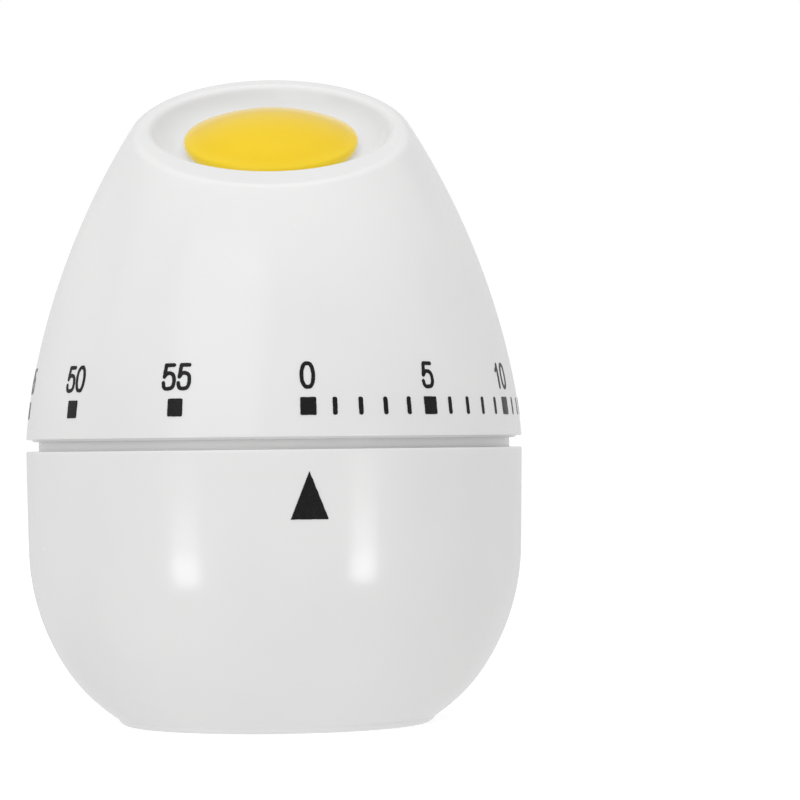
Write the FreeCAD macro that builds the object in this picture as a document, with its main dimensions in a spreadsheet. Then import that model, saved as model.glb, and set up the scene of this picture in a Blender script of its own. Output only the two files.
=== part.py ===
"""Clockwork kitchen timer: a white egg-shaped case whose upper half is the dial, cut on a slant
at the top with a yellow yolk in the cut, and the one-hour ringing movement inside it.

Millimetres, +Z up. The origin is the middle of the flat foot that the timer stands on.
The pointer on the base faces -Y, and the minutes grow towards +X.
"""
import FreeCAD, Part
import math
import os
import Sketcher
from FreeCAD import Placement, Rotation, Vector

DOC = FreeCAD.newDocument("kitchen_timer")

DIMENSIONS = {
    # case, outside
    "body_radius": 30.0,
    "base_height": 33.2,
    "seam_gap": 1.4,
    "shoulder_radius": 29.82,
    "shoulder_height": 21.2,
    "side_arc": 900.0,
    "round_arc": 27.2,
    "haunch_radius": 25.2,
    "haunch_height": 6.6,
    "lower_arc": 20.3,
    "toe_radius": 19.2,
    "toe_height": 0.8,
    "toe_arc": 1.3,
    "foot_radius": 18.0,
    "recess_radius": 11.9,
    "recess_depth": 0.8,
    "neck_radius": 28.5,
    "neck_top": 36.4,
    # base shell, inside
    "base_wall": 1.6,
    "neck_wall": 1.2,
    "inner_toe_radius": 18.75,
    "inner_haunch_radius": 23.9,
    "inner_haunch_height": 7.5,
    "well_radius": 3.4,
    "well_depth": 3.2,
    "well_wall": 1.5,
    "well_roof": 6.8,
    "case_rib_height": 6.5,
    "rib_width": 1.2,
    "post_circle": 22.8,
    "post_radius": 1.8,
    "post_tip_radius": 0.9,
    "post_start": 3.0,
    # dial shell
    "dial_join_radius": 28.94,
    "dial_join_height": 42.3,
    "dial_lower_arc": 58.4,
    "dial_upper_arc": 89.5,
    "dial_top_radius": 9.8,
    "dial_top_height": 82.0,
    "dial_wall": 1.3,
    "skirt_radius": 29.3,
    "skirt_drop": 0.4,
    "skirt_inner_radius": 28.8,
    "skirt_inner_height": 36.4,
    "inner_top_radius": 12.8,
    "inner_top_height": 76.0,
    "cavity_relief": 0.3,
    "boss_radius": 4.2,
    "boss_bottom": 40.0,
    "dial_rib_bottom": 46.0,
    # crater and yolk, in a frame whose axis is the crater's own
    "crater_tilt": 25.2,
    "crater_turn": -8.0,
    "crater_forward": 4.0,
    "crater_height": 72.1,
    "bowl_floor": 2.9,
    "bowl_floor_radius": 10.7,
    "bowl_arc": 4.7,
    "bowl_edge_radius": 14.25,
    "bowl_edge_depth": 0.55,
    "lip_inner_arc": 1.15,
    "lip_inner_radius": 15.2,
    "lip_fillet": 1.5,
    "ceiling_depth": 4.6,
    "yolk_radius": 10.55,
    "yolk_edge_depth": 1.95,
    "yolk_crown_radius": 10.28,
    "yolk_crown_depth": 1.4,
    "yolk_edge_arc": 0.65,
    "yolk_rise": 1.0,
    "yolk_wall": 1.1,
    "yolk_shoulder": 1.0,
    "peg_offset": 6.0,
    "peg_radius": 1.2,
    "peg_clearance": 0.05,
    "peg_length": 4.4,
    "peg_proud": 0.3,
    "peg_hole_spare": 2.0,
    # printing
    "ink_gap": 0.004,
    "ink_thickness": 0.06,
    "mark_height": 38.1,
    "mark_width": 1.86,
    "mark_length": 2.06,
    "mark_corner": 0.2,
    "tick_width": 0.56,
    "tick_length": 2.1,
    "tick_corner": 0.26,
    "last_tick": 15,
    "digit_base": 40.05,
    "digit_width": 1.82,
    "digit_height": 3.14,
    "digit_gap": 0.06,
    "digit_stroke": 0.46,
    "pointer_width": 4.4,
    "pointer_rise": 5.5,
    "pointer_drop": 2.5,
    # stop between base and dial
    "stop_angle": 60.0,
    "stop_lead": 2.5,
    "stop_width": 1.0,
    "stop_tab_inner": 26.4,
    "stop_tab_outer": 27.7,
    "stop_tab_top": 39.6,
    "stop_rib_inner": 25.2,
    "stop_rib_outer": 28.7,
    "stop_rib_bottom": 37.2,
    "stop_rib_top": 41.0,
    # bell and its mounting
    "screw_radius": 1.25,
    "screw_head_radius": 2.8,
    "screw_head_height": 1.6,
    "screw_top": 16.0,
    "screw_slot": 0.6,
    "screw_slot_depth": 0.8,
    "screw_slot_angle": 30.0,
    "bell_radius": 19.0,
    "bell_wall": 0.8,
    "bell_corner": 4.0,
    "bell_top": 17.4,
    "bell_hole": 1.6,
    "washer_height": 0.5,
    "spacer_radius": 3.5,
    "spacer_tenon_radius": 2.5,
    "thread_depth": 5.2,
    "bearing_depth": 2.0,
    # plates and pillars
    "plate_radius": 24.9,
    "plate_thickness": 1.0,
    "bottom_plate_height": 18.5,
    "top_plate_height": 31.5,
    "pillar_circle": 23.2,
    "pillar_radius": 1.4,
    "tenon_radius": 1.0,
    "nut_radius": 2.1,
    "nut_height": 1.4,
    "thread_proud": 0.3,
    # main arbor and mainspring
    "arbor_radius": 2.0,
    "arbor_pivot_radius": 1.5,
    "arbor_top": 52.0,
    "flat_bottom": 38.0,
    "flat_depth": 0.5,
    "running_gap": 0.05,
    "end_gap": 0.1,
    "collet_radius": 3.0,
    "collet_bottom": 24.9,
    "collet_top": 30.8,
    "spring_bottom": 25.3,
    "spring_width": 5.0,
    "spring_thickness": 0.25,
    "spring_inner_radius": 3.35,
    "spring_growth": 0.5,
    "spring_half_turns": 13,
    "spring_post_radius": 0.8,
    # gears
    "pressure_angle": 25.0,
    "wheel_addendum": 0.7,
    "pinion_addendum": 0.85,
    "dedendum": 1.1,
    "backlash": 0.07,
    "wheel_thickness": 0.7,
    "great_module": 0.4,
    "great_teeth": 60,
    "second_module": 0.35,
    "second_teeth": 60,
    "third_module": 0.3,
    "third_teeth": 64,
    "pinion_leaves": 8,
    "pivot_radius": 0.5,
    "shaft_radius": 0.6,
    "great_level": 21.5,
    "great_thickness": 0.8,
    "great_hub_radius": 2.6,
    "great_hub_top": 24.7,
    "second_level": 22.7,
    "third_level": 23.8,
    "pinion_margin": 0.15,
    "seat_step": 0.25,
    "window_radius": 1.8,
    "window_circle": 7.2,
    "wheel_windows": 5,
    "second_angle": 0.0,
    "escape_circle": 15.0,
    "escape_level": 26.0,
    "escape_radius": 4.0,
    "escape_root": 3.0,
    "escape_teeth": 15,
    # ratchet and click
    "ratchet_level": 20.4,
    "ratchet_radius": 5.0,
    "ratchet_root": 4.2,
    "ratchet_teeth": 12,
    "click_circle": 8.0,
    "click_angle": 60.0,
    "click_eye_radius": 1.1,
    "click_stud_radius": 0.6,
    "click_stud_head": 1.1,
    "click_stud_drop": 0.6,
    "stud_head_height": 0.4,
    "click_nose_step": 0.15,
    "click_nose_reach": 0.3,
    "click_root_angle": 1.4,
    "click_tip_angle": 1.2,
    "click_spring_half": 0.12,
    "rivet_radius": 0.6,
    # pallets
    "pallet_circle": 15.5,
    "pallet_distance": 5.6,
    "pallet_reach": 2.2,
    "pallet_spread": 3.55,
    "pallet_bend_reach": 0.6,
    "pallet_bend_spread": 3.4,
    "pallet_half_width": 0.45,
    "pallet_hub_radius": 1.2,
    "balance_level": 28.3,
    "balance_radius": 4.6,
    "balance_rim": 1.1,
    "balance_thickness": 1.0,
    "balance_spoke": 1.2,
    "balance_hub_radius": 1.3,
    # strike work
    "strike_angle": 215.0,
    "strike_level": 23.6,
    "star_radius": 3.5,
    "star_root": 2.3,
    "star_points": 8,
    "star_tip_angle": 5.0,
    "hammer_circle": 14.2,
    "hammer_distance": 8.0,
    "hammer_shaft_radius": 0.7,
    "hammer_shaft_bottom": 14.6,
    "hammer_arm_level": 15.2,
    "hammer_tail_gap": 0.25,
    "hammer_head_circle": 15.1,
    "hammer_head_angle": 300.0,
    "hammer_head_radius": 1.5,
    "hammer_head_bottom": 12.6,
    "hammer_pivot_root": 1.0,
    "hammer_tail_half": 0.4,
    "hammer_arm_half": 0.7,
    "hammer_boss_radius": 1.3,
    "hammer_rivet_radius": 0.5,
    "hammer_rivet_proud": 0.2,
    "catch_half": 0.45,
    "catch_boss_radius": 1.0,
    "catch_left": 2.9,
    "catch_back": 1.3,
    "strip_thickness": 0.8,
    # release
    "release_level": 33.6,
    "cam_radius": 6.0,
    "cam_notch_radius": 4.6,
    "cam_notch_half_angle": 24.0,
    "release_circle": 15.0,
    "release_angle": 200.0,
    "follower_angle": 225.0,
    "follower_gap": 0.15,
    "lever_half_width": 0.6,
    "lever_boss_radius": 1.7,
    "lever_catch_right": 0.3,
    "lever_catch_back": 1.75,
    "release_stud_radius": 0.8,
    "release_stud_shoulder": 1.3,
}

# Directions from the main axis, in degrees.
POST_ANGLES = (85, 185, 275)
PILLAR_ANGLES = (27, 145, 228, 310)
WINDOW_ANGLES = (150, 210, 270, 330)

PIECES = []


def write_sheet():
    """Puts every driving dimension in the spreadsheet, one aliased cell each."""
    sheet = DOC.addObject("Spreadsheet::Sheet", "Dimensions")
    for row, (alias, number) in enumerate(DIMENSIONS.items(), start=1):
        sheet.set(f"A{row}", alias.replace("_", " "))
        sheet.set(f"B{row}", str(number))
        sheet.setAlias(f"B{row}", alias)
    DOC.recompute()
    return sheet


SHEET = write_sheet()


class Size:
    """A number of the sheet, or worked out from such numbers, with the expression that gives it."""

    def __init__(self, number, text):
        self.number = number
        self.text = text

    def __add__(self, other):
        return Size(self.number + number_of(other), f"({self.text} + {text_of(other)})")

    def __sub__(self, other):
        return Size(self.number - number_of(other), f"({self.text} - {text_of(other)})")

    def __mul__(self, other):
        return Size(self.number * number_of(other), f"({self.text} * {text_of(other)})")

    def __truediv__(self, other):
        return Size(self.number / number_of(other), f"({self.text} / {text_of(other)})")

    def __neg__(self):
        return Size(-self.number, f"(-{self.text})")


def number_of(size):
    return size.number if isinstance(size, Size) else float(size)


def text_of(size):
    return size.text if isinstance(size, Size) else repr(float(size))


def dim(alias):
    """A driving dimension of the sheet, bound by its alias."""
    return Size(float(getattr(SHEET, alias)), f"Dimensions.{alias}")


def val(alias):
    """A driving dimension of the sheet as a plain number."""
    return float(getattr(SHEET, alias))


def polar(radius, degrees, height=0.0):
    """The point at a distance from the axis, at an angle from +X towards +Y."""
    angle = math.radians(degrees)
    return Vector(radius * math.cos(angle), radius * math.sin(angle), height)


def place(item, point=Vector(), turn=0.0, height=None):
    """Puts an object at a point, turned about +Z, with its height bound to the sheet."""
    item.Placement = Placement(point, Rotation(Vector(0, 0, 1), turn))
    if height is not None:
        item.setExpression("Placement.Base.z", text_of(height))
    return item


def piece(label, item):
    """Registers an object as a sub-part of its own."""
    item.Label = label
    PIECES.append(item)
    return item


def cylinder(name, radius, bottom, top, point=Vector()):
    """An upright cylinder between two heights."""
    item = DOC.addObject("Part::Cylinder", name)
    item.setExpression("Radius", text_of(radius))
    item.setExpression("Height", text_of(top - bottom))
    return place(item, point, height=bottom)


def bar(name, start, end, width, bottom, top, degrees):
    """An upright box along a radius of the timer, from one distance to another."""
    item = DOC.addObject("Part::Box", name)
    item.setExpression("Length", text_of(end - start))
    item.setExpression("Width", text_of(width))
    item.setExpression("Height", text_of(top - bottom))
    corner = polar(number_of(start), degrees) - polar(number_of(width) / 2, degrees + 90)
    return place(item, corner, degrees, height=bottom)


def cut(name, base, tool):
    item = DOC.addObject("Part::Cut", name)
    item.Base = base
    item.Tool = tool
    return item


def fuse(name, *shapes):
    item = DOC.addObject("Part::MultiFuse", name)
    item.Shapes = list(shapes)
    return item


def feature(name, shape, point=Vector(), turn=0.0):
    """A sub-part whose shape comes from Part's own functions."""
    item = DOC.addObject("Part::Feature", name)
    item.Shape = shape
    item.Placement = Placement(point, Rotation(Vector(0, 0, 1), turn))
    return item


def arc_centre(start, end, radius):
    """Centre of the arc from start to end: to the left of the way for a positive radius."""
    half = (end - start) * 0.5
    side = Vector(-half.y, half.x, 0).normalize()
    rise = math.sqrt(radius * radius - half.Length * half.Length)
    return start + half + side * math.copysign(rise, radius)


def arc_between(start, end, radius):
    """The minor arc between two points, and whether it runs backwards from end to start."""
    centre = arc_centre(start, end, radius)
    first, last = (start, end) if radius > 0 else (end, start)
    angles = [math.atan2(p.y - centre.y, p.x - centre.x) for p in (first, last)]
    circle = Part.Circle(centre, Vector(0, 0, 1), abs(radius))
    return Part.ArcOfCircle(circle, angles[0], angles[1]), radius < 0


def draw_outline(sketch, corners, arcs):
    """Draws a closed outline through corners bound to the sheet. arcs gives the radius of the arc
    that leaves a corner, negative where it runs clockwise."""
    points = [Vector(number_of(x), number_of(y), 0) for x, y in corners]
    ends = []
    for index, start in enumerate(points):
        end = points[(index + 1) % len(points)]
        if index in arcs:
            edge, backwards = arc_between(start, end, number_of(arcs[index]))
        else:
            edge, backwards = Part.LineSegment(start, end), False
        ends.append((sketch.addGeometry(edge, False), (2, 1) if backwards else (1, 2)))
    for index, (edge, (first, last)) in enumerate(ends):
        following, (next_first, _) = ends[(index + 1) % len(ends)]
        sketch.addConstraint(Sketcher.Constraint("Coincident", edge, last, following, next_first))
        for kind, axis, size in (("DistanceX", -2, corners[index][0]), ("DistanceY", -1, corners[index][1])):
            if not isinstance(size, Size) and size == 0:
                sketch.addConstraint(Sketcher.Constraint("PointOnObject", edge, first, axis))
            else:
                bind_constraint(sketch, f"{kind}_{index}", size, kind, -1, 1, edge, first)
        if index in arcs:
            radius = arcs[index] if number_of(arcs[index]) > 0 else -arcs[index]
            bind_constraint(sketch, f"arc_{index}", radius, "Radius", edge)


def bind_constraint(sketch, name, size, kind, *targets):
    """Adds one dimension to a sketch and drives it from the sheet."""
    row = sketch.addConstraint(Sketcher.Constraint(kind, *targets, number_of(size)))
    sketch.renameConstraint(row, name)
    sketch.setExpression(f"Constraints.{name}", text_of(size))


def new_body(name):
    return DOC.addObject("PartDesign::Body", name)


def new_sketch(body, name, role, offset=Placement()):
    """A sketch on one of its own body's origin planes."""
    plane = next(item for item in body.Origin.OriginFeatures if item.Role == role)
    sketch = body.newObject("Sketcher::SketchObject", name)
    sketch.AttachmentSupport = [(plane, "")]
    sketch.MapMode = "FlatFace"
    sketch.AttachmentOffset = offset
    return sketch


def turned(name, corners, arcs=None):
    """A body of revolution about Z, from an outline of (radius, height) corners."""
    body = new_body(name)
    sketch = new_sketch(body, f"{name}_outline", "XZ_Plane")
    draw_outline(sketch, corners, arcs or {})
    turn = body.newObject("PartDesign::Revolution", f"{name}_turn")
    turn.Profile = sketch
    turn.ReferenceAxis = (sketch, ["V_Axis"])
    turn.Angle = 360
    body.Tip = turn
    return body


def stepped_shaft(name, steps, bottom):
    """A turned shaft: steps are (radius, top height) pairs from the bottom up."""
    corners = [(0, bottom)]
    low = bottom
    for radius, top in steps:
        corners.append((radius, low))
        corners.append((radius, top))
        low = top
    corners.append((0, low))
    return turned(name, corners)


def groove(body, name, corners, arcs, offset):
    """Turns material off a body about an axis that lies in its YZ plane."""
    sketch = new_sketch(body, f"{name}_outline", "YZ_Plane", offset)
    draw_outline(sketch, corners, arcs)
    DOC.recompute()
    before = body.Shape.Volume
    item = body.newObject("PartDesign::Groove", name)
    item.Profile = sketch
    item.ReferenceAxis = (sketch, ["V_Axis"])
    item.Angle = 360
    body.Tip = item
    DOC.recompute()
    if not body.Shape.Volume < before:
        raise RuntimeError(f"{name} removes nothing")


def prism(points, thickness, bottom=0.0):
    """An upright prism over a closed outline of points."""
    corners = [Vector(p.x, p.y, bottom) for p in points]
    wire = Part.makePolygon(corners + corners[:1])
    return Part.Face(wire).extrude(Vector(0, 0, thickness))


def link(start, end, half_width, normal):
    """A flat link with round ends, in the plane across the given normal."""
    along = (end - start).normalize() * half_width
    side = normal.cross(along)
    wire = Part.Wire([
        Part.makeLine(start + side, end + side),
        Part.Arc(end + side, end + along, end - side).toShape(),
        Part.makeLine(end - side, start - side),
        Part.Arc(start - side, start - along, start + side).toShape(),
    ])
    return Part.Face(wire)


def ribbon(points, half_width, normal):
    """A flat line with round ends and joints through several points."""
    links = [link(a, b, half_width, normal) for a, b in zip(points, points[1:])]
    if len(links) == 1:
        return links[0]
    return links[0].fuse(links[1:]).removeSplitter()


def strip(points, half_width, thickness, bottom=0.0):
    """A flat strip with round ends that follows a line of points."""
    path = [Vector(p.x, p.y, bottom) for p in points]
    return ribbon(path, half_width, Vector(0, 0, 1)).extrude(Vector(0, 0, thickness))


def disc(radius, thickness, bottom=0.0, point=Vector()):
    return Part.makeCylinder(radius, thickness, Vector(point.x, point.y, bottom))


# ---------------------------------------------------------------- case


def crater_frame():
    """The crater's own frame: its axis leans forward, towards -Y."""
    return Placement(Vector(0, -val("crater_forward"), val("crater_height")),
                     Rotation(Vector(1, 0, 0), val("crater_tilt")))


def crater_sketch_offset():
    """The same frame as an offset of a sketch on the YZ plane."""
    return Placement(Vector(-val("crater_forward"), val("crater_height"), 0),
                     Rotation(Vector(0, 0, 1), val("crater_tilt")))


def make_base_shell():
    """Lower half: foot ring, recess, screw boss, side wall and the neck that the dial turns on."""
    blank = turned("base_blank", [
        (0, dim("well_depth")),
        (dim("well_radius"), dim("well_depth")),
        (dim("well_radius"), dim("recess_depth")),
        (dim("recess_radius"), dim("recess_depth")),
        (dim("recess_radius"), 0),
        (dim("foot_radius"), 0),
        (dim("toe_radius"), dim("toe_height")),
        (dim("haunch_radius"), dim("haunch_height")),
        (dim("shoulder_radius"), dim("shoulder_height")),
        (dim("body_radius"), dim("base_height")),
        (dim("neck_radius"), dim("base_height")),
        (dim("neck_radius"), dim("neck_top")),
        (0, dim("neck_top")),
    ], {5: dim("toe_arc"), 6: dim("lower_arc"), 7: dim("round_arc"), 8: dim("side_arc")})
    floor = dim("recess_depth") + dim("base_wall")
    above = dim("neck_top") + 1
    cavity = turned("base_cavity", [
        (0, floor),
        (dim("inner_toe_radius"), floor),
        (dim("inner_haunch_radius"), dim("inner_haunch_height")),
        (dim("shoulder_radius") - dim("base_wall"), dim("shoulder_height")),
        (dim("neck_radius") - dim("neck_wall"), dim("base_height")),
        (dim("neck_radius") - dim("neck_wall"), above),
        (0, above),
    ], {1: dim("lower_arc") - dim("base_wall"), 2: dim("round_arc") - dim("base_wall")})
    boss_top = dim("well_depth") + dim("well_roof")
    kept = [cylinder("screw_boss", dim("well_radius") + dim("well_wall"), dim("recess_depth"), boss_top)]
    for index, degrees in enumerate((0, 90)):
        kept.append(bar(f"floor_rib_{index}", -dim("body_radius"), dim("body_radius"), dim("rib_width"),
                        dim("recess_depth"), dim("case_rib_height"), degrees))
    for index, point in enumerate(case_posts()):
        kept.append(cylinder(f"post_{index}", dim("post_radius"), dim("post_start"),
                             dim("bottom_plate_height"), point))
        kept.append(cylinder(f"post_tip_{index}", dim("post_tip_radius"), dim("bottom_plate_height"),
                             dim("bottom_plate_height") + dim("plate_thickness"), point))
    hollow = cut("base_hollow", cavity, fuse("base_inner_work", *kept))
    tab = bar("stop_tab", dim("stop_tab_inner"), dim("stop_tab_outer"), dim("stop_width"),
              dim("base_height") + dim("seam_gap"), dim("stop_tab_top"), val("stop_angle"))
    open_shell = fuse("base_with_tab", cut("base_open", blank, hollow), tab)
    hole = cylinder("screw_hole", dim("bell_hole"), dim("well_depth") - 1, boss_top + 1)
    piece("base_shell", cut("base_shell_body", open_shell, hole))


def case_posts():
    """Where the three posts stand that carry the movement."""
    return [polar(val("post_circle"), degrees) for degrees in POST_ANGLES]


def make_dial_shell():
    """Upper half: thin wall, slanted crater with a bowl, and a central boss that grips the arbor."""
    edge = dim("base_height") + dim("seam_gap")
    blank = turned("dial_blank", [
        (0, edge - dim("skirt_drop")),
        (dim("skirt_radius"), edge - dim("skirt_drop")),
        (dim("skirt_radius"), edge),
        (dim("body_radius"), edge),
        (dim("dial_join_radius"), dim("dial_join_height")),
        (dim("dial_top_radius"), dim("dial_top_height")),
        (0, dim("dial_top_height")),
    ], {3: dim("dial_lower_arc"), 4: dim("dial_upper_arc")})
    far = dim("body_radius")
    groove(blank, "crater", [
        (0, -dim("bowl_floor")),
        (dim("bowl_floor_radius"), -dim("bowl_floor")),
        (dim("bowl_edge_radius"), -dim("bowl_edge_depth")),
        (dim("lip_inner_radius"), 0),
        (far, 0),
        (far, far),
        (0, far),
    ], {1: dim("bowl_arc"), 2: -dim("lip_inner_arc")}, crater_sketch_offset())
    round_lip(blank)
    hollow = cut("dial_hollow", make_dial_cavity(edge), make_dial_inner_work())
    end = -dim("peg_length") - dim("peg_hole_spare")
    pegs = [cylinder(f"peg_hole_{side}", dim("peg_radius") + dim("peg_clearance"), end, Size(0.0, "0"),
                     Vector(side * val("peg_offset"), 0, 0)) for side in (-1, 1)]
    holes = fuse("peg_holes", *pegs)
    holes.Placement = crater_frame()
    bore = cut("dial_bore", cylinder("dial_bore_round", dim("arbor_radius"), dim("boss_bottom") - 1,
                                     dim("arbor_top")), flat_box("dial_bore_flat"))
    shell = cut("dial_shell_body", cut("dial_open", blank, hollow), fuse("dial_holes", holes, bore))
    shell.Placement = Placement(Vector(), Rotation(Vector(0, 0, 1), val("crater_turn")))
    piece("dial_shell", shell)


def round_lip(blank):
    """Rounds the outer edge of the rim, where the slanted plane meets the flank."""
    frame = crater_frame()
    names = []
    for index, edge in enumerate(blank.Shape.Edges, start=1):
        local = [frame.inverse().multVec(v) for v in edge.discretize(7)]
        flat = all(abs(p.z) < 0.001 for p in local)
        outside = all(math.hypot(p.x, p.y) > val("lip_inner_radius") + 0.2 for p in local)
        if flat and outside:
            names.append(f"Edge{index}")
    sharp = blank.Tip
    fillet = blank.newObject("PartDesign::Fillet", "lip_round")
    fillet.Base = (sharp, names)
    fillet.setExpression("Radius", text_of(dim("lip_fillet")))
    blank.Tip = fillet
    DOC.recompute()


def make_dial_cavity(edge):
    """The hollow of the dial, closed by a slanted ceiling under the bowl."""
    wall = dim("dial_wall")
    below = edge - 2
    cavity = turned("dial_cavity", [
        (0, below),
        (dim("skirt_inner_radius"), below),
        (dim("skirt_inner_radius"), dim("skirt_inner_height")),
        (dim("body_radius") - wall - dim("cavity_relief"), dim("skirt_inner_height") + wall),
        (dim("dial_join_radius") - wall, dim("dial_join_height")),
        (dim("inner_top_radius"), dim("inner_top_height")),
        (0, dim("inner_top_height")),
    ], {3: dim("dial_lower_arc") - wall, 4: dim("dial_upper_arc") - wall})
    far = dim("body_radius") + dim("body_radius")
    groove(cavity, "ceiling", [
        (0, -dim("ceiling_depth")),
        (far, -dim("ceiling_depth")),
        (far, far),
        (0, far),
    ], {}, crater_sketch_offset())
    return cavity


def make_dial_inner_work():
    """Boss, four ribs and the stop rib inside the dial."""
    boss = cylinder("dial_boss", dim("boss_radius"), dim("boss_bottom"), dim("dial_top_height"))
    ribs = [bar(f"dial_rib_{index}", -dim("body_radius"), dim("body_radius"), dim("rib_width"),
                dim("dial_rib_bottom"), dim("dial_top_height"), degrees)
            for index, degrees in enumerate((45, 135))]
    stop = bar("stop_rib", dim("stop_rib_inner"), dim("stop_rib_outer"), dim("stop_width"),
               dim("stop_rib_bottom"), dim("stop_rib_top"),
               val("stop_angle") - val("stop_lead") - val("crater_turn"))
    return fuse("dial_inner_work", boss, *ribs, stop)


def flat_box(name):
    """The block that takes the flat off the arbor and off its bore."""
    item = DOC.addObject("Part::Box", name)
    item.setExpression("Length", text_of(dim("arbor_radius")))
    item.setExpression("Width", text_of(dim("arbor_radius") * 2))
    item.setExpression("Height", text_of(dim("arbor_top") - dim("flat_bottom") + 1))
    corner = Vector(val("arbor_radius") - val("flat_depth"), -val("arbor_radius"), 0)
    return place(item, corner, height=dim("flat_bottom"))


def cap_arc(radius, rise):
    """Radius of the sphere whose cap has the given radius and rise."""
    return (radius * radius + rise * rise) / (rise * 2)


def make_yolk_cap():
    """Yellow dome with two pegs that go through the floor of the bowl."""
    floor = -dim("bowl_floor")
    inner_rise = dim("yolk_rise") - dim("yolk_wall")
    inner_radius = dim("yolk_crown_radius") - dim("yolk_shoulder")
    inner_arc = cap_arc(inner_radius, inner_rise + dim("yolk_edge_depth"))
    crown_arc = cap_arc(dim("yolk_crown_radius"), dim("yolk_rise") + dim("yolk_crown_depth"))
    dome = turned("yolk_dome", [
        (0, inner_rise),
        (inner_radius, -dim("yolk_edge_depth")),
        (inner_radius, floor),
        (dim("yolk_radius"), floor),
        (dim("yolk_radius"), -dim("yolk_edge_depth")),
        (dim("yolk_crown_radius"), -dim("yolk_crown_depth")),
        (0, dim("yolk_rise")),
    ], {0: -inner_arc, 4: dim("yolk_edge_arc"), 5: crown_arc})
    pegs = [cylinder(f"yolk_peg_{side}", dim("peg_radius"), -dim("ceiling_depth") - dim("peg_proud"),
                     -dim("yolk_wall"), Vector(side * val("peg_offset"), 0, 0)) for side in (-1, 1)]
    cap = fuse("yolk_cap_body", dome, *pegs)
    turn = Placement(Vector(), Rotation(Vector(0, 0, 1), val("crater_turn")))
    cap.Placement = turn * crater_frame()
    piece("yolk_cap", cap)


# ---------------------------------------------------------------- printing

# Centre lines of the digits in a box one wide and one high.
DIGIT_LINES = {
    "0": [(0.5, 1.0), (0.2, 0.95), (0.04, 0.8), (0.0, 0.6), (0.0, 0.4), (0.04, 0.2), (0.2, 0.05),
          (0.5, 0.0), (0.8, 0.05), (0.96, 0.2), (1.0, 0.4), (1.0, 0.6), (0.96, 0.8), (0.8, 0.95),
          (0.5, 1.0)],
    "1": [(0.22, 0.76), (0.46, 0.84), (0.62, 1.0), (0.62, 0.0)],
    "2": [(0.03, 0.78), (0.16, 0.95), (0.5, 1.0), (0.84, 0.94), (0.96, 0.75), (0.86, 0.55),
          (0.3, 0.26), (0.03, 0.0), (1.0, 0.0)],
    "3": [(0.05, 0.8), (0.2, 0.96), (0.5, 1.0), (0.82, 0.94), (0.92, 0.77), (0.8, 0.6), (0.42, 0.54),
          (0.84, 0.47), (1.0, 0.27), (0.84, 0.06), (0.5, 0.0), (0.16, 0.06), (0.0, 0.24)],
    "4": [(0.78, 0.0), (0.78, 1.0), (0.0, 0.3), (1.05, 0.3)],
    "5": [(0.92, 1.0), (0.2, 1.0), (0.08, 0.52), (0.28, 0.62), (0.56, 0.64), (0.86, 0.56), (1.0, 0.33),
          (0.86, 0.08), (0.5, 0.0), (0.14, 0.05), (0.0, 0.23)],
}


def flank_arcs(upper):
    """The outline of one half of the case as arcs in the XZ plane, each as its two ends and radius."""
    if upper:
        edge = val("base_height") + val("seam_gap")
        return [((val("body_radius"), edge), (val("dial_join_radius"), val("dial_join_height")),
                 val("dial_lower_arc")),
                ((val("dial_join_radius"), val("dial_join_height")),
                 (val("dial_top_radius"), val("dial_top_height")), val("dial_upper_arc"))]
    return [((val("shoulder_radius"), val("shoulder_height")), (val("body_radius"), val("base_height")),
             val("side_arc"))]


def flank_layer(upper):
    """A layer as thick as the ink, a hair off the outside of one half of the case."""
    arcs = flank_arcs(upper)
    sides = []
    for lift in (val("ink_gap"), val("ink_gap") + val("ink_thickness")):
        line = []
        for start, end, radius in arcs:
            low, high = Vector(start[0], start[1], 0), Vector(end[0], end[1], 0)
            centre = arc_centre(low, high, radius)
            middle = centre + ((low + high) * 0.5 - centre).normalize() * (radius + lift)
            out = (low - centre).normalize() * lift
            if line:
                out = line[-1][2] - low
            line.append((low + out, middle, high + (high - centre).normalize() * lift))
        sides.append([[Vector(p.x, 0, p.y) for p in points] for points in line])
    inner, outer = sides
    edges = [Part.Arc(*points).toShape() for points in inner]
    edges.append(Part.makeLine(inner[-1][2], outer[-1][2]))
    edges += [Part.Arc(*reversed(points)).toShape() for points in reversed(outer)]
    edges.append(Part.makeLine(outer[0][0], inner[0][0]))
    return Part.Face(Part.Wire(edges)).revolve(Vector(), Vector(0, 0, 1), 360)


def print_on(layer, face, degrees):
    """What a face on the XZ plane prints on the layer at an angle round the case."""
    block = face.extrude(Vector(0, -2 * val("body_radius"), 0))
    block.rotate(Vector(), Vector(0, 0, 1), degrees)
    return block.common(layer).Solids


def rounded_box(width, height, middle, corner):
    """A rectangle with rounded corners, upright in the XZ plane."""
    left, right = -width / 2 + corner, width / 2 - corner
    low, high = middle - height / 2 + corner, middle + height / 2 - corner
    points = [Vector(left, 0, low), Vector(right, 0, low), Vector(right, 0, high), Vector(left, 0, high)]
    return Part.Face(Part.makePolygon(points + points[:1]).makeOffset2D(corner, 0, False, False))


def make_scale_marks():
    """Squares every five minutes, and fine ticks for the first minutes."""
    layer = flank_layer(True)
    middle = val("mark_height")
    square = rounded_box(val("mark_width"), val("mark_length"), middle, val("mark_corner"))
    tick = rounded_box(val("tick_width"), val("tick_length"), middle, val("tick_corner"))
    solids = []
    for minute in range(60):
        if minute % 5 == 0:
            solids += print_on(layer, square, 6 * minute)
        elif minute < val("last_tick"):
            solids += print_on(layer, tick, 6 * minute)
    piece("scale_marks", feature("scale_marks_print", Part.makeCompound(solids)))


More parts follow.
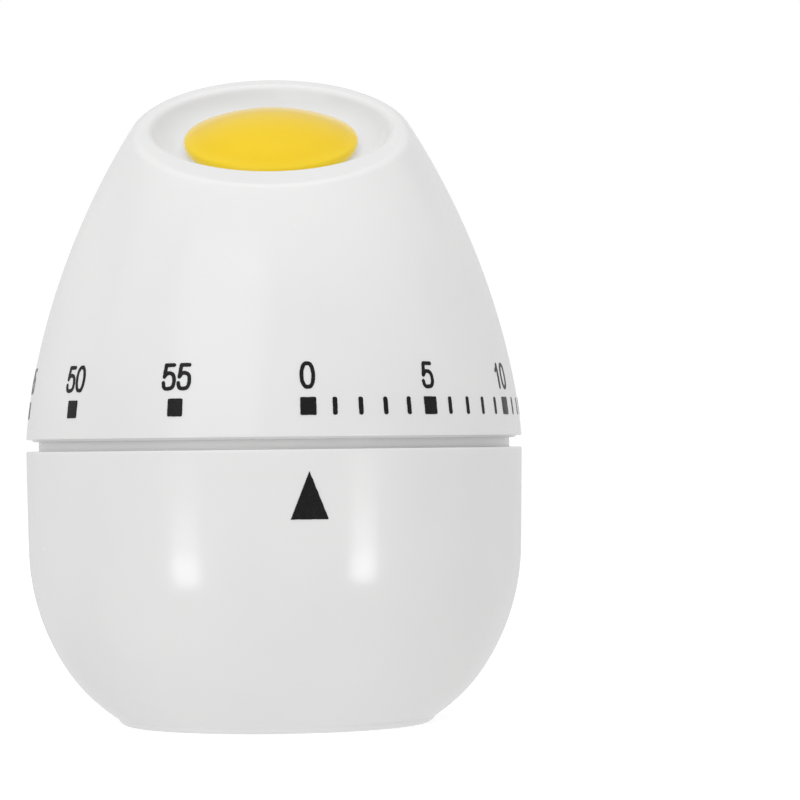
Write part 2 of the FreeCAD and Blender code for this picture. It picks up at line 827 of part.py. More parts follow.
def digit_face(digit, left):
    """One digit as an upright face, its centre line thickened by the stroke."""
    stroke = val("digit_stroke")
    width, rise = val("digit_width") - stroke, val("digit_height") - stroke
    base = val("digit_base") + stroke / 2
    line = [Vector(left + x * width, 0, base + y * rise) for x, y in DIGIT_LINES[digit]]
    return ribbon(line, stroke / 2, Vector(0, 1, 0))


def make_numerals():
    """The minutes 0 to 55 in fives, above their marks."""
    layer = flank_layer(True)
    solids = []
    width, gap = val("digit_width"), val("digit_gap")
    for minute in range(0, 60, 5):
        digits = str(minute)
        span = len(digits) * width + (len(digits) - 1) * gap
        for index, digit in enumerate(digits):
            left = -span / 2 + index * (width + gap) + val("digit_stroke") / 2
            for outline in digit_face(digit, left).Faces:
                solids += print_on(layer, outline, 6 * minute)
    piece("scale_numerals", feature("scale_numerals_print", Part.makeCompound(solids)))


def make_pointer():
    """The triangle on the base that the dial is read against."""
    top = val("base_height") - val("pointer_drop")
    half = val("pointer_width") / 2
    points = [Vector(0, 0, top), Vector(-half, 0, top - val("pointer_rise")),
              Vector(half, 0, top - val("pointer_rise"))]
    outline = Part.Face(Part.makePolygon(points + points[:1]))
    solids = print_on(flank_layer(False), outline, 0)
    piece("pointer_mark", feature("pointer_print", Part.makeCompound(solids)))


# ---------------------------------------------------------------- bell and frame


def make_case_screw():
    """Screw under the foot: holds the bell and the movement to the base."""
    head_top = dim("well_depth")
    body = stepped_shaft("case_screw_body", [
        (dim("screw_head_radius"), head_top),
        (dim("screw_radius"), dim("screw_top")),
    ], head_top - dim("screw_head_height"))
    slot = bar("screw_slot", -dim("screw_head_radius"), dim("screw_head_radius"), dim("screw_slot"),
               head_top - dim("screw_head_height") - 1,
               head_top - dim("screw_head_height") + dim("screw_slot_depth"), val("screw_slot_angle"))
    piece("case_screw", cut("case_screw_slotted", body, slot))


def make_bell():
    """Steel cup bell, mouth up, held at its middle."""
    bottom = dim("well_depth") + dim("well_roof")
    wall, corner, outer = dim("bell_wall"), dim("bell_corner"), dim("bell_radius")
    piece("bell", turned("bell_cup", [
        (dim("bell_hole"), bottom),
        (outer - corner, bottom),
        (outer, bottom + corner),
        (outer, dim("bell_top")),
        (outer - wall, dim("bell_top")),
        (outer - wall, bottom + corner),
        (outer - corner, bottom + wall),
        (dim("bell_hole"), bottom + wall),
    ], {1: corner, 5: wall - corner}))
    washer_bottom = bottom + wall
    piece("bell_washer", turned("bell_washer_ring", [
        (dim("bell_hole"), washer_bottom),
        (dim("spacer_radius"), washer_bottom),
        (dim("spacer_radius"), washer_bottom + dim("washer_height")),
        (dim("bell_hole"), washer_bottom + dim("washer_height")),
    ]))


def make_centre_post():
    """Spacer from bell to movement: threaded below, bored above as the arbor's lower bearing."""
    bottom = dim("well_depth") + dim("well_roof") + dim("bell_wall") + dim("washer_height")
    plate = dim("bottom_plate_height")
    top = plate + dim("plate_thickness")
    bearing = dim("arbor_pivot_radius") + dim("running_gap")
    piece("centre_post", turned("centre_post_body", [
        (dim("screw_radius"), bottom),
        (dim("spacer_radius"), bottom),
        (dim("spacer_radius"), plate),
        (dim("spacer_tenon_radius"), plate),
        (dim("spacer_tenon_radius"), top),
        (bearing, top),
        (bearing, top - dim("bearing_depth")),
        (0, top - dim("bearing_depth")),
        (0, bottom + dim("thread_depth")),
        (dim("screw_radius"), bottom + dim("thread_depth")),
    ]))


def pillar_points():
    return [polar(val("pillar_circle"), degrees) for degrees in PILLAR_ANGLES]


def make_pillars():
    """Four pillars between the plates, with a tenon below, a thread above, and their nuts."""
    floor = dim("bottom_plate_height") + dim("plate_thickness")
    ceiling = dim("top_plate_height")
    nut_bottom = ceiling + dim("plate_thickness")
    thread_top = nut_bottom + dim("nut_height") + dim("thread_proud")
    pillars, nuts = [], []
    for index, point in enumerate(pillar_points()):
        shank = cylinder(f"pillar_shank_{index}", dim("pillar_radius"), floor, ceiling, point)
        tenon = cylinder(f"pillar_tenon_{index}", dim("tenon_radius"), dim("bottom_plate_height"),
                         thread_top, point)
        pillars.append(fuse(f"pillar_{index}", shank, tenon))
        block = DOC.addObject("Part::Prism", f"nut_block_{index}")
        block.Polygon = 6
        block.setExpression("Circumradius", text_of(dim("nut_radius")))
        block.setExpression("Height", text_of(dim("nut_height")))
        place(block, point, 15 * index, height=nut_bottom)
        bore = cylinder(f"nut_bore_{index}", dim("tenon_radius"), nut_bottom, thread_top, point)
        nuts.append(cut(f"nut_{index}", block, bore))
    for label, items in (("pillars", pillars), ("pillar_nuts", nuts)):
        group = DOC.addObject("Part::Compound", f"{label}_group")
        group.Links = items
        piece(label, group)


def make_plate(label, level, holes):
    """A round plate with its holes, given as (name, radius, point)."""
    top = level + dim("plate_thickness")
    blank = cylinder(f"{label}_blank", dim("plate_radius"), level, top)
    tools = [cylinder(f"{label}_{name}", radius, level - 1, top + 1, point) for name, radius, point in holes]
    piece(label, cut(f"{label}_drilled", blank, fuse(f"{label}_holes", *tools)))


def make_plates(places):
    """Both plates, drilled for the pivots, pillars and posts."""
    pivot = dim("pivot_radius") + dim("running_gap")
    pivots = [(f"pivot_{name}", pivot, places[name])
              for name in ("second", "third", "escape", "pallet", "strike")]
    tenons = [(f"tenon_{index}", dim("tenon_radius"), point) for index, point in enumerate(pillar_points())]
    hammer = dim("hammer_shaft_radius") + dim("running_gap")
    posts = [(f"post_{index}", dim("post_tip_radius"), point) for index, point in enumerate(case_posts())]
    make_plate("bottom_plate", dim("bottom_plate_height"),
               pivots + tenons + posts + [("hammer", hammer, places["hammer"]),
                                          ("centre", dim("spacer_tenon_radius"), Vector())])
    make_plate("top_plate", dim("top_plate_height"),
               pivots + tenons + [("hammer", pivot, places["hammer"]),
                                  ("centre", dim("arbor_radius") + dim("running_gap"), Vector()),
                                  ("spring_post", dim("spring_post_radius"), spring_post_point()),
                                  ("release_stud", dim("release_stud_radius"), places["release"])])


# ---------------------------------------------------------------- main arbor


def make_main_arbor():
    """Arbor in one piece with its pivot and the flat that carries the dial."""
    bottom = dim("bottom_plate_height") + dim("end_gap")
    shaft = stepped_shaft("main_arbor_shaft", [
        (dim("arbor_pivot_radius"), dim("bottom_plate_height") + dim("plate_thickness") + dim("end_gap")),
        (dim("arbor_radius"), dim("arbor_top")),
    ], bottom)
    arbor = cut("main_arbor_body", shaft, flat_box("main_arbor_flat"))
    arbor.Placement = Placement(Vector(), Rotation(Vector(0, 0, 1), val("crater_turn")))
    piece("main_arbor", arbor)


def ring_piece(label, inner, outer, bottom, top):
    """A plain ring on the main axis."""
    piece(label, turned(f"{label}_ring", [(inner, bottom), (outer, bottom), (outer, top), (inner, top)]))


def spring_outer_radius():
    """Radius of the last half turn of the mainspring."""
    return val("spring_inner_radius") + val("spring_growth") * (val("spring_half_turns") - 1)


def spring_post_point():
    """The post that the outer end of the mainspring hooks round."""
    reach = spring_outer_radius() + val("spring_thickness") / 2 + val("spring_post_radius")
    return Vector(-reach, 0, 0)


def half_turn(centre, radius, sign):
    """A half circle: over the top from right to left for sign 1, under it from left to right for -1."""
    across, up = Vector(sign * radius, 0, 0), Vector(0, sign * radius, 0)
    return Part.Arc(centre + across, centre + up, centre - across).toShape()


def make_mainspring():
    """Flat spiral strip of half turns that grow outwards, with a hook round its post."""
    thick, growth = val("spring_thickness"), val("spring_growth")
    inner, outer = [], []
    for index in range(int(val("spring_half_turns"))):
        radius = val("spring_inner_radius") + growth * index
        sign = -1 if index % 2 else 1
        centre = Vector(growth * (index % 2), 0, 0)
        inner.append(half_turn(centre, radius - thick / 2, sign))
        outer.append(half_turn(centre, radius + thick / 2, sign))
    post, post_radius = spring_post_point(), val("spring_post_radius")
    down = Vector(0, -1, 0)
    for rail, reach in ((inner, post_radius + thick), (outer, post_radius)):
        across = Vector(reach, 0, 0)
        rail.append(Part.Arc(post + across, post + down * reach, post - across).toShape())
    ends = [Part.makeLine(inner[0].firstVertex().Point, outer[0].firstVertex().Point),
            Part.makeLine(post - Vector(post_radius, 0, 0), post - Vector(post_radius + thick, 0, 0))]
    wire = Part.Wire(Part.__sortEdges__(inner + outer + ends))
    strip_shape = Part.Face(wire).extrude(Vector(0, 0, val("spring_width")))
    piece("mainspring", feature("mainspring_strip", strip_shape, Vector(0, 0, val("spring_bottom"))))
    piece("spring_post", cylinder("spring_post_rod", dim("spring_post_radius"), dim("collet_bottom"),
                                  dim("top_plate_height") + dim("plate_thickness"), post))


# ---------------------------------------------------------------- gears


def involute(angle):
    return math.tan(angle) - angle


def gear_points(module, teeth, addendum, flank_steps):
    """Outline of a spur gear with a tooth centred on +X."""
    pressure = math.radians(val("pressure_angle"))
    pitch = module * teeth / 2
    base = pitch * math.cos(pressure)
    tip = pitch + addendum * module
    root = pitch - val("dedendum") * module
    half = (math.pi * module / 2 - val("backlash")) / (2 * pitch)
    start = max(root, base)
    flank = []
    if root < base:
        flank.append((root, half + involute(pressure)))
    for step in range(flank_steps + 1):
        radius = start + (tip - start) * step / flank_steps
        flank.append((radius, half + involute(pressure) - involute(math.acos(min(1.0, base / radius)))))
    points = []
    for tooth in range(teeth):
        middle = 2 * math.pi * tooth / teeth
        sides = [(r, middle - a) for r, a in flank] + [(r, middle + a) for r, a in reversed(flank)]
        points += [Vector(r * math.cos(a), r * math.sin(a), 0) for r, a in sides]
    return points


def wheel_shape(module, teeth, bore, thickness, windows=0):
    """A train wheel with round windows between its arms."""
    pitch = module * teeth / 2
    shape = prism(gear_points(module, teeth, val("wheel_addendum"), 2), thickness)
    holes = [disc(bore, thickness)]
    ring, window = pitch * 0.56, pitch * 0.24
    holes += [disc(window, thickness, 0.0, polar(ring, 360 * (index + 0.5) / windows))
              for index in range(windows)]
    return shape.cut(Part.makeCompound(holes))


def pinion_arbor(label, module, level, top, point, turn, seat_top):
    """An arbor with its leaves cut in one piece, a seat for the wheel above and a pivot at each end."""
    floor = val("bottom_plate_height") + val("end_gap")
    low = val("bottom_plate_height") + val("plate_thickness") + val("end_gap")
    high = val("top_plate_height") - val("end_gap")
    ceiling = val("top_plate_height") + val("plate_thickness") - val("end_gap")
    leaves = prism(gear_points(module, int(val("pinion_leaves")), val("pinion_addendum"), 4),
                   top - level, level)
    shape = leaves.fuse([
        disc(val("pivot_radius"), ceiling - floor, floor),
        disc(val("shaft_radius"), high - low, low),
        disc(seat_radius(), seat_top - top, top),
    ])
    piece(label, feature(f"{label}_turned", shape, point, turn))


def seat_radius():
    """The shoulder of an arbor that a wheel is pressed on."""
    return val("shaft_radius") + val("seat_step")


def saw_points(teeth, tip, root):
    """Outline with teeth that rise slowly and fall at once, the steep faces towards +angle."""
    points = []
    for tooth in range(teeth):
        start = 360 / teeth * tooth
        points.append(polar(tip, start))
        points.append(polar(root, start))
        points.append(polar((tip + root) / 2 + 0.02, start + 180 / teeth))
    return points


def star_points(teeth, tip, root, tip_width):
    """Outline of a star with flat-topped points."""
    points = []
    for tooth in range(teeth):
        middle = 360 / teeth * tooth
        points += [polar(tip, middle - tip_width), polar(tip, middle + tip_width),
                   polar(root, middle + 150 / teeth), polar(root, middle + 210 / teeth)]
    return points


def mate(known, known_circle, new_circle, gap, sign=1):
    """Point on a circle about the main axis at a given distance from a known point."""
    along = (known_circle ** 2 + new_circle ** 2 - gap ** 2) / (2 * known_circle)
    across = math.sqrt(new_circle ** 2 - along ** 2) * sign
    unit = known * (1 / known.Length)
    return unit * along + Vector(-unit.y, unit.x, 0) * across


def heading(start, end):
    """Direction from one point to another, in degrees."""
    return math.degrees(math.atan2(end.y - start.y, end.x - start.x))


def mesh_turn(driver, driver_teeth, driver_turn, driven, driven_teeth):
    """How far the driven gear is turned so that its gap faces the driver's tooth."""
    line = heading(driver, driven)
    return line + 180 + (line - driver_turn) * driver_teeth / driven_teeth - 180 / driven_teeth


def centre_distance(module, teeth):
    return module * (teeth + val("pinion_leaves")) / 2


def layout():
    """Where every arbor stands."""
    great_gap = centre_distance(val("great_module"), val("great_teeth"))
    second_gap = centre_distance(val("second_module"), val("second_teeth"))
    third_gap = centre_distance(val("third_module"), val("third_teeth"))
    places = {"second": polar(great_gap, val("second_angle"))}
    places["third"] = mate(places["second"], great_gap, great_gap, second_gap)
    places["escape"] = mate(places["third"], great_gap, val("escape_circle"), third_gap)
    places["pallet"] = mate(places["escape"], val("escape_circle"), val("pallet_circle"),
                            val("pallet_distance"))
    places["strike"] = polar(great_gap, val("strike_angle"))
    places["hammer"] = mate(places["strike"], great_gap, val("hammer_circle"), val("hammer_distance"))
    places["release"] = polar(val("release_circle"), val("release_angle"))
    return places


def make_great_wheel():
    """First wheel of the train, loose on the arbor, with a hub up to the spring collet."""
    level, thickness = val("great_level"), val("great_thickness")
    bore = val("arbor_radius") + val("running_gap")
    wheel = wheel_shape(val("great_module"), int(val("great_teeth")), bore, thickness)
    hub = disc(val("great_hub_radius"), val("great_hub_top") - level - thickness, thickness)
    hub = hub.cut(disc(bore, val("great_hub_top") - level))
    holes = [disc(val("click_stud_radius"), thickness, 0.0, click_point())]
    windows = [disc(val("window_radius"), thickness, 0.0, polar(val("window_circle"), degrees))
               for degrees in WINDOW_ANGLES]
    shape = wheel.fuse(hub).cut(Part.makeCompound(holes + windows))
    piece("great_wheel", feature("great_wheel_cut", shape, Vector(0, 0, level)))


def make_train(places):
    """Second, third and escape arbors with their wheels, each turned into mesh."""
    leaves = int(val("pinion_leaves"))
    seats = val("great_level"), val("second_level"), val("third_level")
    margin, thick, windows = val("pinion_margin"), val("wheel_thickness"), int(val("wheel_windows"))
    origin = Vector()
    turn = mesh_turn(origin, val("great_teeth"), 0.0, places["second"], leaves)
    pinion_arbor("second_pinion", val("great_module"), seats[0] - margin,
                 seats[0] + val("great_thickness") + margin, places["second"], turn,
                 seats[1] + thick)
    wheel = wheel_shape(val("second_module"), int(val("second_teeth")), seat_radius(), thick, windows)
    height = Vector(0, 0, seats[1])
    piece("second_wheel", feature("second_wheel_cut", wheel, places["second"] + height))

    turn = mesh_turn(places["second"], val("second_teeth"), 0.0, places["third"], leaves)
    pinion_arbor("third_pinion", val("second_module"), seats[1] - margin, seats[1] + thick + margin,
                 places["third"], turn, seats[2] + thick)
    wheel = wheel_shape(val("third_module"), int(val("third_teeth")), seat_radius(), thick, windows)
    height = Vector(0, 0, seats[2])
    piece("third_wheel", feature("third_wheel_cut", wheel, places["third"] + height))

    turn = mesh_turn(places["third"], val("third_teeth"), 0.0, places["escape"], leaves)
    level = val("escape_level")
    pinion_arbor("escape_pinion", val("third_module"), seats[2] - margin, seats[2] + thick + margin,
                 places["escape"], turn, level + thick)
    teeth = saw_points(int(val("escape_teeth")), val("escape_radius"), val("escape_root"))
    wheel = prism(teeth, thick).cut(disc(seat_radius(), thick))
    piece("escape_wheel", feature("escape_wheel_cut", wheel, places["escape"] + Vector(0, 0, level)))


def make_pallets(places):
    """Anchor and balance ring on one arbor, beside the escape wheel."""
    point = places["pallet"]
    floor = val("bottom_plate_height")
    ceiling = val("top_plate_height") + val("plate_thickness")
    gap, plate = val("end_gap"), val("plate_thickness")
    shape = disc(val("pivot_radius"), ceiling - floor - 2 * gap, floor + gap).fuse(
        disc(val("shaft_radius"), ceiling - floor - 2 * (plate + gap), floor + plate + gap))
    piece("pallet_arbor", feature("pallet_arbor_turned", shape, point))

    turn = heading(point, places["escape"])
    tip = Vector(val("pallet_reach"), val("pallet_spread"), 0)
    bend = Vector(val("pallet_bend_reach"), val("pallet_bend_spread"), 0)
    line = [tip, bend, Vector(), Vector(bend.x, -bend.y, 0), Vector(tip.x, -tip.y, 0)]
    thick = val("wheel_thickness")
    anchor = strip(line, val("pallet_half_width"), thick).fuse(disc(val("pallet_hub_radius"), thick))
    anchor = anchor.cut(disc(val("shaft_radius"), thick))
    height = Vector(0, 0, val("escape_level"))
    piece("pallet_anchor", feature("pallet_anchor_cut", anchor, point + height, turn))

    radius, rim, tall = val("balance_radius"), val("balance_rim"), val("balance_thickness")
    ring = disc(radius, tall).cut(disc(radius - rim, tall))
    end, half = radius - rim / 2, val("balance_spoke") / 2
    cross = prism([Vector(-end, -half), Vector(end, -half), Vector(end, half), Vector(-end, half)], tall)
    ring = ring.fuse([cross, disc(val("balance_hub_radius"), tall)]).cut(disc(val("shaft_radius"), tall))
    height = Vector(0, 0, val("balance_level"))
    piece("balance_ring", feature("balance_ring_cut", ring, point + height, turn))


# Corners of the click beside its nose and round its eye, and the bent line of its spring.
CLICK_BACK = [(6.1, 2.3), (5.7, 5.0)]
CLICK_FRONT = [(4.6, 3.6), (4.95, 1.9)]
CLICK_EYE_SIDES = [(0.9, 0.0), (-0.8, -0.2)]
CLICK_SPRING_LINE = [(9.5, 2.5), (8.2, 4.2), (6.7, 5.3)]


def click_point():
    return polar(val("click_circle"), val("click_angle"))


def make_click_work():
    """Ratchet wheel pressed on the arbor; click, stud and spring carried under the great wheel."""
    level, thick = val("ratchet_level"), val("strip_thickness")
    teeth = saw_points(int(val("ratchet_teeth")), val("ratchet_radius"), val("ratchet_root"))
    wheel = prism(teeth, thick).cut(disc(val("arbor_radius"), thick))
    piece("ratchet_wheel", feature("ratchet_wheel_cut", wheel, Vector(0, 0, level)))

    stud = click_point()
    eye, bore = val("click_eye_radius"), val("click_stud_radius") + val("running_gap")
    nose = [polar(val("ratchet_root") + val("click_nose_step"), val("click_root_angle")),
            polar(val("ratchet_radius") + val("click_nose_reach"), val("click_tip_angle"))]
    sides = [stud + Vector(*side, 0) for side in CLICK_EYE_SIDES]
    back, front = ([Vector(*corner, 0) for corner in corners] for corners in (CLICK_BACK, CLICK_FRONT))
    arm = prism(nose + back + sides + front, thick)
    click = arm.fuse(disc(eye, thick, 0.0, stud)).cut(disc(bore, thick, 0.0, stud))
    piece("click", feature("click_cut", click, Vector(0, 0, level)))

    low = level - val("click_stud_drop")
    top = val("great_level") + val("great_thickness")
    pin = disc(val("click_stud_radius"), top - low, low, stud)
    head = disc(val("click_stud_head"), val("stud_head_height"), low, stud)
    piece("click_stud", feature("click_stud_turned", pin.fuse(head)))

    line = [Vector(*corner, 0) for corner in CLICK_SPRING_LINE]
    blade = strip(line, val("click_spring_half"), thick, level)
    spring = blade.fuse(disc(val("rivet_radius"), val("great_level") - level, level, line[0]))
    piece("click_spring", feature("click_spring_bent", spring))


# ---------------------------------------------------------------- strike work


def make_strike(places):
    """Arbor driven by the great wheel, with the star that knocks the hammer."""
    leaves = int(val("pinion_leaves"))
    point = places["strike"]
    turn = mesh_turn(Vector(), val("great_teeth"), 0.0, point, leaves)
    low, high = val("great_level"), val("great_level") + val("great_thickness")
    level, thick = val("strike_level"), val("strip_thickness")
    pinion_arbor("strike_pinion", val("great_module"), low - val("pinion_margin"),
                 high + val("pinion_margin"), point, turn, level + thick)
    outline = star_points(int(val("star_points")), val("star_radius"), val("star_root"),
                          val("star_tip_angle"))
    star = prism(outline, thick).cut(disc(seat_radius(), thick))
    piece("strike_star", feature("strike_star_cut", star, point + Vector(0, 0, level)))


def hammer_head_point():
    return polar(val("hammer_head_circle"), val("hammer_head_angle"))


def make_hammer(places):
    """Hammer arbor through both plates, with its tail, arm, head and catch."""
    point, head = places["hammer"], hammer_head_point()
    thick = val("strip_thickness")
    release = val("release_level")
    shaft = disc(val("hammer_shaft_radius"), val("top_plate_height") - val("end_gap")
                 - val("hammer_shaft_bottom"), val("hammer_shaft_bottom"))
    root = val("top_plate_height") - val("hammer_pivot_root")
    pivot = disc(val("pivot_radius"), release + thick - root, root)
    piece("hammer_arbor", feature("hammer_arbor_turned", shaft.fuse(pivot), point))

    level = val("strike_level")
    reach = val("hammer_distance") - val("star_radius") - val("hammer_tail_gap")
    unit = (places["strike"] - point).normalize()
    half, boss = val("hammer_tail_half"), val("hammer_boss_radius")
    tail = strip([point, point + unit * (reach - half)], half, thick, level)
    tail = tail.fuse(disc(boss, thick, level, point))
    tail = tail.cut(disc(val("hammer_shaft_radius"), thick, level, point))
    piece("hammer_tail", feature("hammer_tail_cut", tail))

    level = val("hammer_arm_level")
    rivet = val("hammer_rivet_radius")
    arm = strip([point, head], val("hammer_arm_half"), thick, level).fuse(disc(boss, thick, level, point))
    arm = arm.cut(Part.makeCompound([disc(val("hammer_shaft_radius"), thick, level, point),
                                     disc(rivet, thick, level, head)]))
    piece("hammer_arm", feature("hammer_arm_cut", arm))
    bottom = val("hammer_head_bottom")
    block = disc(val("hammer_head_radius"), level - bottom, bottom, head)
    block = block.fuse(disc(rivet, thick + val("hammer_rivet_proud"), level, head))
    piece("hammer_head", feature("hammer_head_turned", block))

    catch = strip([point, catch_tip(places)], val("catch_half"), thick, release)
    catch = catch.fuse(disc(val("catch_boss_radius"), thick, release, point))
    catch = catch.cut(disc(val("pivot_radius"), thick, release, point))
    piece("hammer_catch", feature("hammer_catch_cut", catch))


def catch_tip(places):
    """End of the hammer's catch, on the side of the release lever."""
    return places["hammer"] + Vector(-val("catch_left"), val("catch_back"), 0)


def make_release(places):
    """Cam with one notch on the arbor, and the lever that drops into it when the time is up."""
    level, thick = val("release_level"), val("strip_thickness")
    half = val("cam_notch_half_angle")
    middle = val("follower_angle")
    cam = disc(val("cam_radius"), thick)
    reach = val("cam_radius") * 2
    wedge = prism([Vector(), polar(reach, middle - half), polar(reach, middle + half)], thick)
    notch = wedge.cut(disc(val("cam_notch_radius"), thick))
    cam = cam.cut(notch).cut(disc(val("arbor_radius"), thick))
    piece("release_cam", feature("release_cam_cut", cam, Vector(0, 0, level)))

    pivot = places["release"]
    tip = polar(val("cam_radius") + val("follower_gap") + val("lever_half_width"), middle)
    catch = catch_tip(places) + Vector(val("lever_catch_right"), val("lever_catch_back"), 0)
    lever = strip([tip, pivot, catch], val("lever_half_width"), thick)
    lever = lever.fuse(disc(val("lever_boss_radius"), thick, 0.0, pivot))
    lever = lever.cut(disc(val("release_stud_radius") + val("running_gap"), thick, 0.0, pivot))
    piece("release_lever", feature("release_lever_cut", lever, Vector(0, 0, level)))

    plate = val("top_plate_height") + val("plate_thickness")
    bottom = val("top_plate_height")
    above = level + thick + val("end_gap")
    stud = disc(val("release_stud_radius"), above + val("stud_head_height") - bottom, bottom)
    shoulder = disc(val("release_stud_shoulder"), level - val("end_gap") - plate, plate)
    head = disc(val("release_stud_shoulder"), val("stud_head_height"), above)
    piece("release_stud", feature("release_stud_turned", stud.fuse([shoulder, head]), pivot))


def check_document():
    """Stops on any failed object, and on any empty or broken shape."""
    DOC.recompute()
    for item in DOC.Objects:
        if {"Invalid", "Error"} & set(item.State):
            raise RuntimeError(f"{item.Label} failed: {item.State}")
    for item in PIECES:
        if item.Shape.isNull() or not item.Shape.isValid() or not item.Shape.Solids:
            raise RuntimeError(f"{item.Label} has no valid shape")


def main():
    places = layout()
    make_base_shell()
    make_dial_shell()
    make_yolk_cap()
    make_scale_marks()
    make_numerals()
    make_pointer()
    make_case_screw()
    make_bell()
    make_centre_post()
    make_plates(places)
    make_pillars()
    make_main_arbor()
    ring_piece("spring_collet", dim("arbor_radius"), dim("collet_radius"), dim("collet_bottom"),
               dim("collet_top"))
    make_mainspring()
    make_great_wheel()
    make_click_work()
    make_train(places)
    make_pallets(places)
    make_strike(places)
    make_hammer(places)
    make_release(places)
    check_document()
    os.makedirs("parts", exist_ok=True)
    for item in PIECES:
        item.Shape.exportStep(f"parts/{item.Label}.step")
        box = item.Shape.BoundBox
        print(f"{item.Label}: {len(item.Shape.Solids)} solid, {item.Shape.Volume:.1f} mm3, "
              f"z {box.ZMin:.2f} to {box.ZMax:.2f}")


main()
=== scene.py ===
"""Clockwork kitchen timer: smooth outer skins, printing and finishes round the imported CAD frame.

Sizes are millimetres in the CAD's frame (+Z up, foot on the floor, pointer facing -Y) and become
metres when a mesh is made.
"""
import functools
import math

import bpy
from mathutils import Matrix, Vector


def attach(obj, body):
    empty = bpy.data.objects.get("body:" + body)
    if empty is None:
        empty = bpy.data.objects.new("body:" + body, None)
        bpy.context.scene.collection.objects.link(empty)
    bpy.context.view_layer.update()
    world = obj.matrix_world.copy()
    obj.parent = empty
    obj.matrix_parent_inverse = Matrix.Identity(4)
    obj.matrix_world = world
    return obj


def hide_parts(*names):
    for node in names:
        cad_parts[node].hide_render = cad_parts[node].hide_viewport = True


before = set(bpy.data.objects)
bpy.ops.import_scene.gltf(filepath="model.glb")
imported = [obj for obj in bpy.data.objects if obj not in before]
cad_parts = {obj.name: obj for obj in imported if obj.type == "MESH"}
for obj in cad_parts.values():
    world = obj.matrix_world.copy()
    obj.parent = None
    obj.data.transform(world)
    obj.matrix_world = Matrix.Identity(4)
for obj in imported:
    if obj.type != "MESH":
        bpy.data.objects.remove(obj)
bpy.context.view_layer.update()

MM = 0.001
# Steps round the axis for the skins, the dial's boss, the base's posts and the yolk's pegs.
TURN_STEPS, BOSS_STEPS, POST_STEPS, PEG_STEPS = 288, 96, 48, 40
# Steps along the dial's outside, round its lip and along its inside.
FLANK_STEPS, LIP_STEPS, INSIDE_STEPS = 64, 16, 40
SCENE = bpy.context.scene

# ---------------------------------------------------------------- case sizes, as in the CAD

BODY_RADIUS = 30.0
BASE_HEIGHT = 33.2
DIAL_EDGE = 34.6
NECK_RADIUS, NECK_INNER, NECK_TOP = 28.5, 27.3, 36.4
BASE_WALL, DIAL_WALL = 1.6, 1.3
SIDE = ((29.82, 21.2), (BODY_RADIUS, BASE_HEIGHT), 900.0)
ROUND = ((25.2, 6.6), (29.82, 21.2), 27.2)
LOWER = ((19.2, 0.8), (25.2, 6.6), 20.3)
TOE_ARC = 1.3
FOOT_RADIUS, RECESS_RADIUS, RECESS_DEPTH = 18.0, 11.9, 0.8
WELL_RADIUS, WELL_DEPTH, BOSS_RADIUS, BOSS_TOP = 3.4, 3.2, 4.9, 10.0
SCREW_HOLE = 1.6
FLANK_LOW = ((BODY_RADIUS, DIAL_EDGE), (28.94, 42.3), 58.4)
FLANK_HIGH = ((28.94, 42.3), (9.8, 82.0), 89.5)
CRATER_TURN = math.radians(-8.0)
CRATER = (Matrix.Rotation(CRATER_TURN, 4, "Z") @ Matrix.Translation((0.0, -4.0, 72.1))
          @ Matrix.Rotation(math.radians(25.2), 4, "X"))
BOWL_FLOOR, CEILING = -2.9, -4.6
BOWL_FLOOR_RINGS = (2.5, 5.0, 7.5, 9.5)
BOWL_SIDE = ((10.7, BOWL_FLOOR), (14.25, -0.55), 4.7)
LIP_INSIDE = ((14.25, -0.55), (15.2, 0.0), -1.15)
LIP_FILLET = 1.5
SKIRT_RADIUS, SKIRT_INNER, SKIRT_DROP = 29.42, 28.8, 0.24
STOP_TURN, STOP_THICKNESS, RIB_THICKNESS = 60.0, 1.0, 1.2

# Outlines in (radius, height) of what stands inside the base, and where it stands round the axis.
FLOOR_RIB = [(4.5, 1.6), (19.3, 1.6), (22.6, 4.6), (24.1, 6.5), (4.5, 6.5)]
FLOOR_RIB_TURNS = (0, 90, 180, 270)
POST = [(0, 7.0), (1.8, 7.0), (1.8, 18.5), (0.9, 18.5), (0.9, 19.5), (0, 19.5)]
POST_TURNS, POST_CIRCLE = (85, 185, 275), 22.8
STOP_TAB = [(26.4, DIAL_EDGE), (27.7, DIAL_EDGE), (27.7, 39.6), (26.4, 39.6)]

# The same for the dial: its lower edge from the rounded corner inwards, its boss, ribs and stop.
DIAL_FOOT = [
    (BODY_RADIUS - 0.015, DIAL_EDGE + 0.12), (BODY_RADIUS - 0.065, DIAL_EDGE + 0.04),
    (BODY_RADIUS - 0.14, DIAL_EDGE), (SKIRT_RADIUS, DIAL_EDGE), (SKIRT_RADIUS - 0.1, DIAL_EDGE - 0.06),
    (SKIRT_RADIUS - 0.22, DIAL_EDGE - 0.18), (SKIRT_RADIUS - 0.32, DIAL_EDGE - SKIRT_DROP),
    (SKIRT_INNER + 0.1, DIAL_EDGE - SKIRT_DROP), (SKIRT_INNER, DIAL_EDGE - SKIRT_DROP + 0.08),
    (SKIRT_INNER, 35.3), (SKIRT_INNER, 36.3),
]
INSIDE_FOOT = 37.7
DIAL_BOSS = [(2.0, 40.0), (4.2, 40.0), (4.2, 67.2), (2.0, 67.2)]
DIAL_RIB_TURNS, DIAL_RIB_INNER, DIAL_RIB_FOOT, DIAL_RIB_TOP = (45, 135, 225, 315), 3.8, 46, 67.0
DIAL_STOP = [(25.2, 37.2), (28.3, 37.2), (28.5, 38.0), (28.3, 41.0), (25.2, 41.0)]
DIAL_RIB_INSET, STOP_CLEARANCE_TURN = 0.6, 2.5

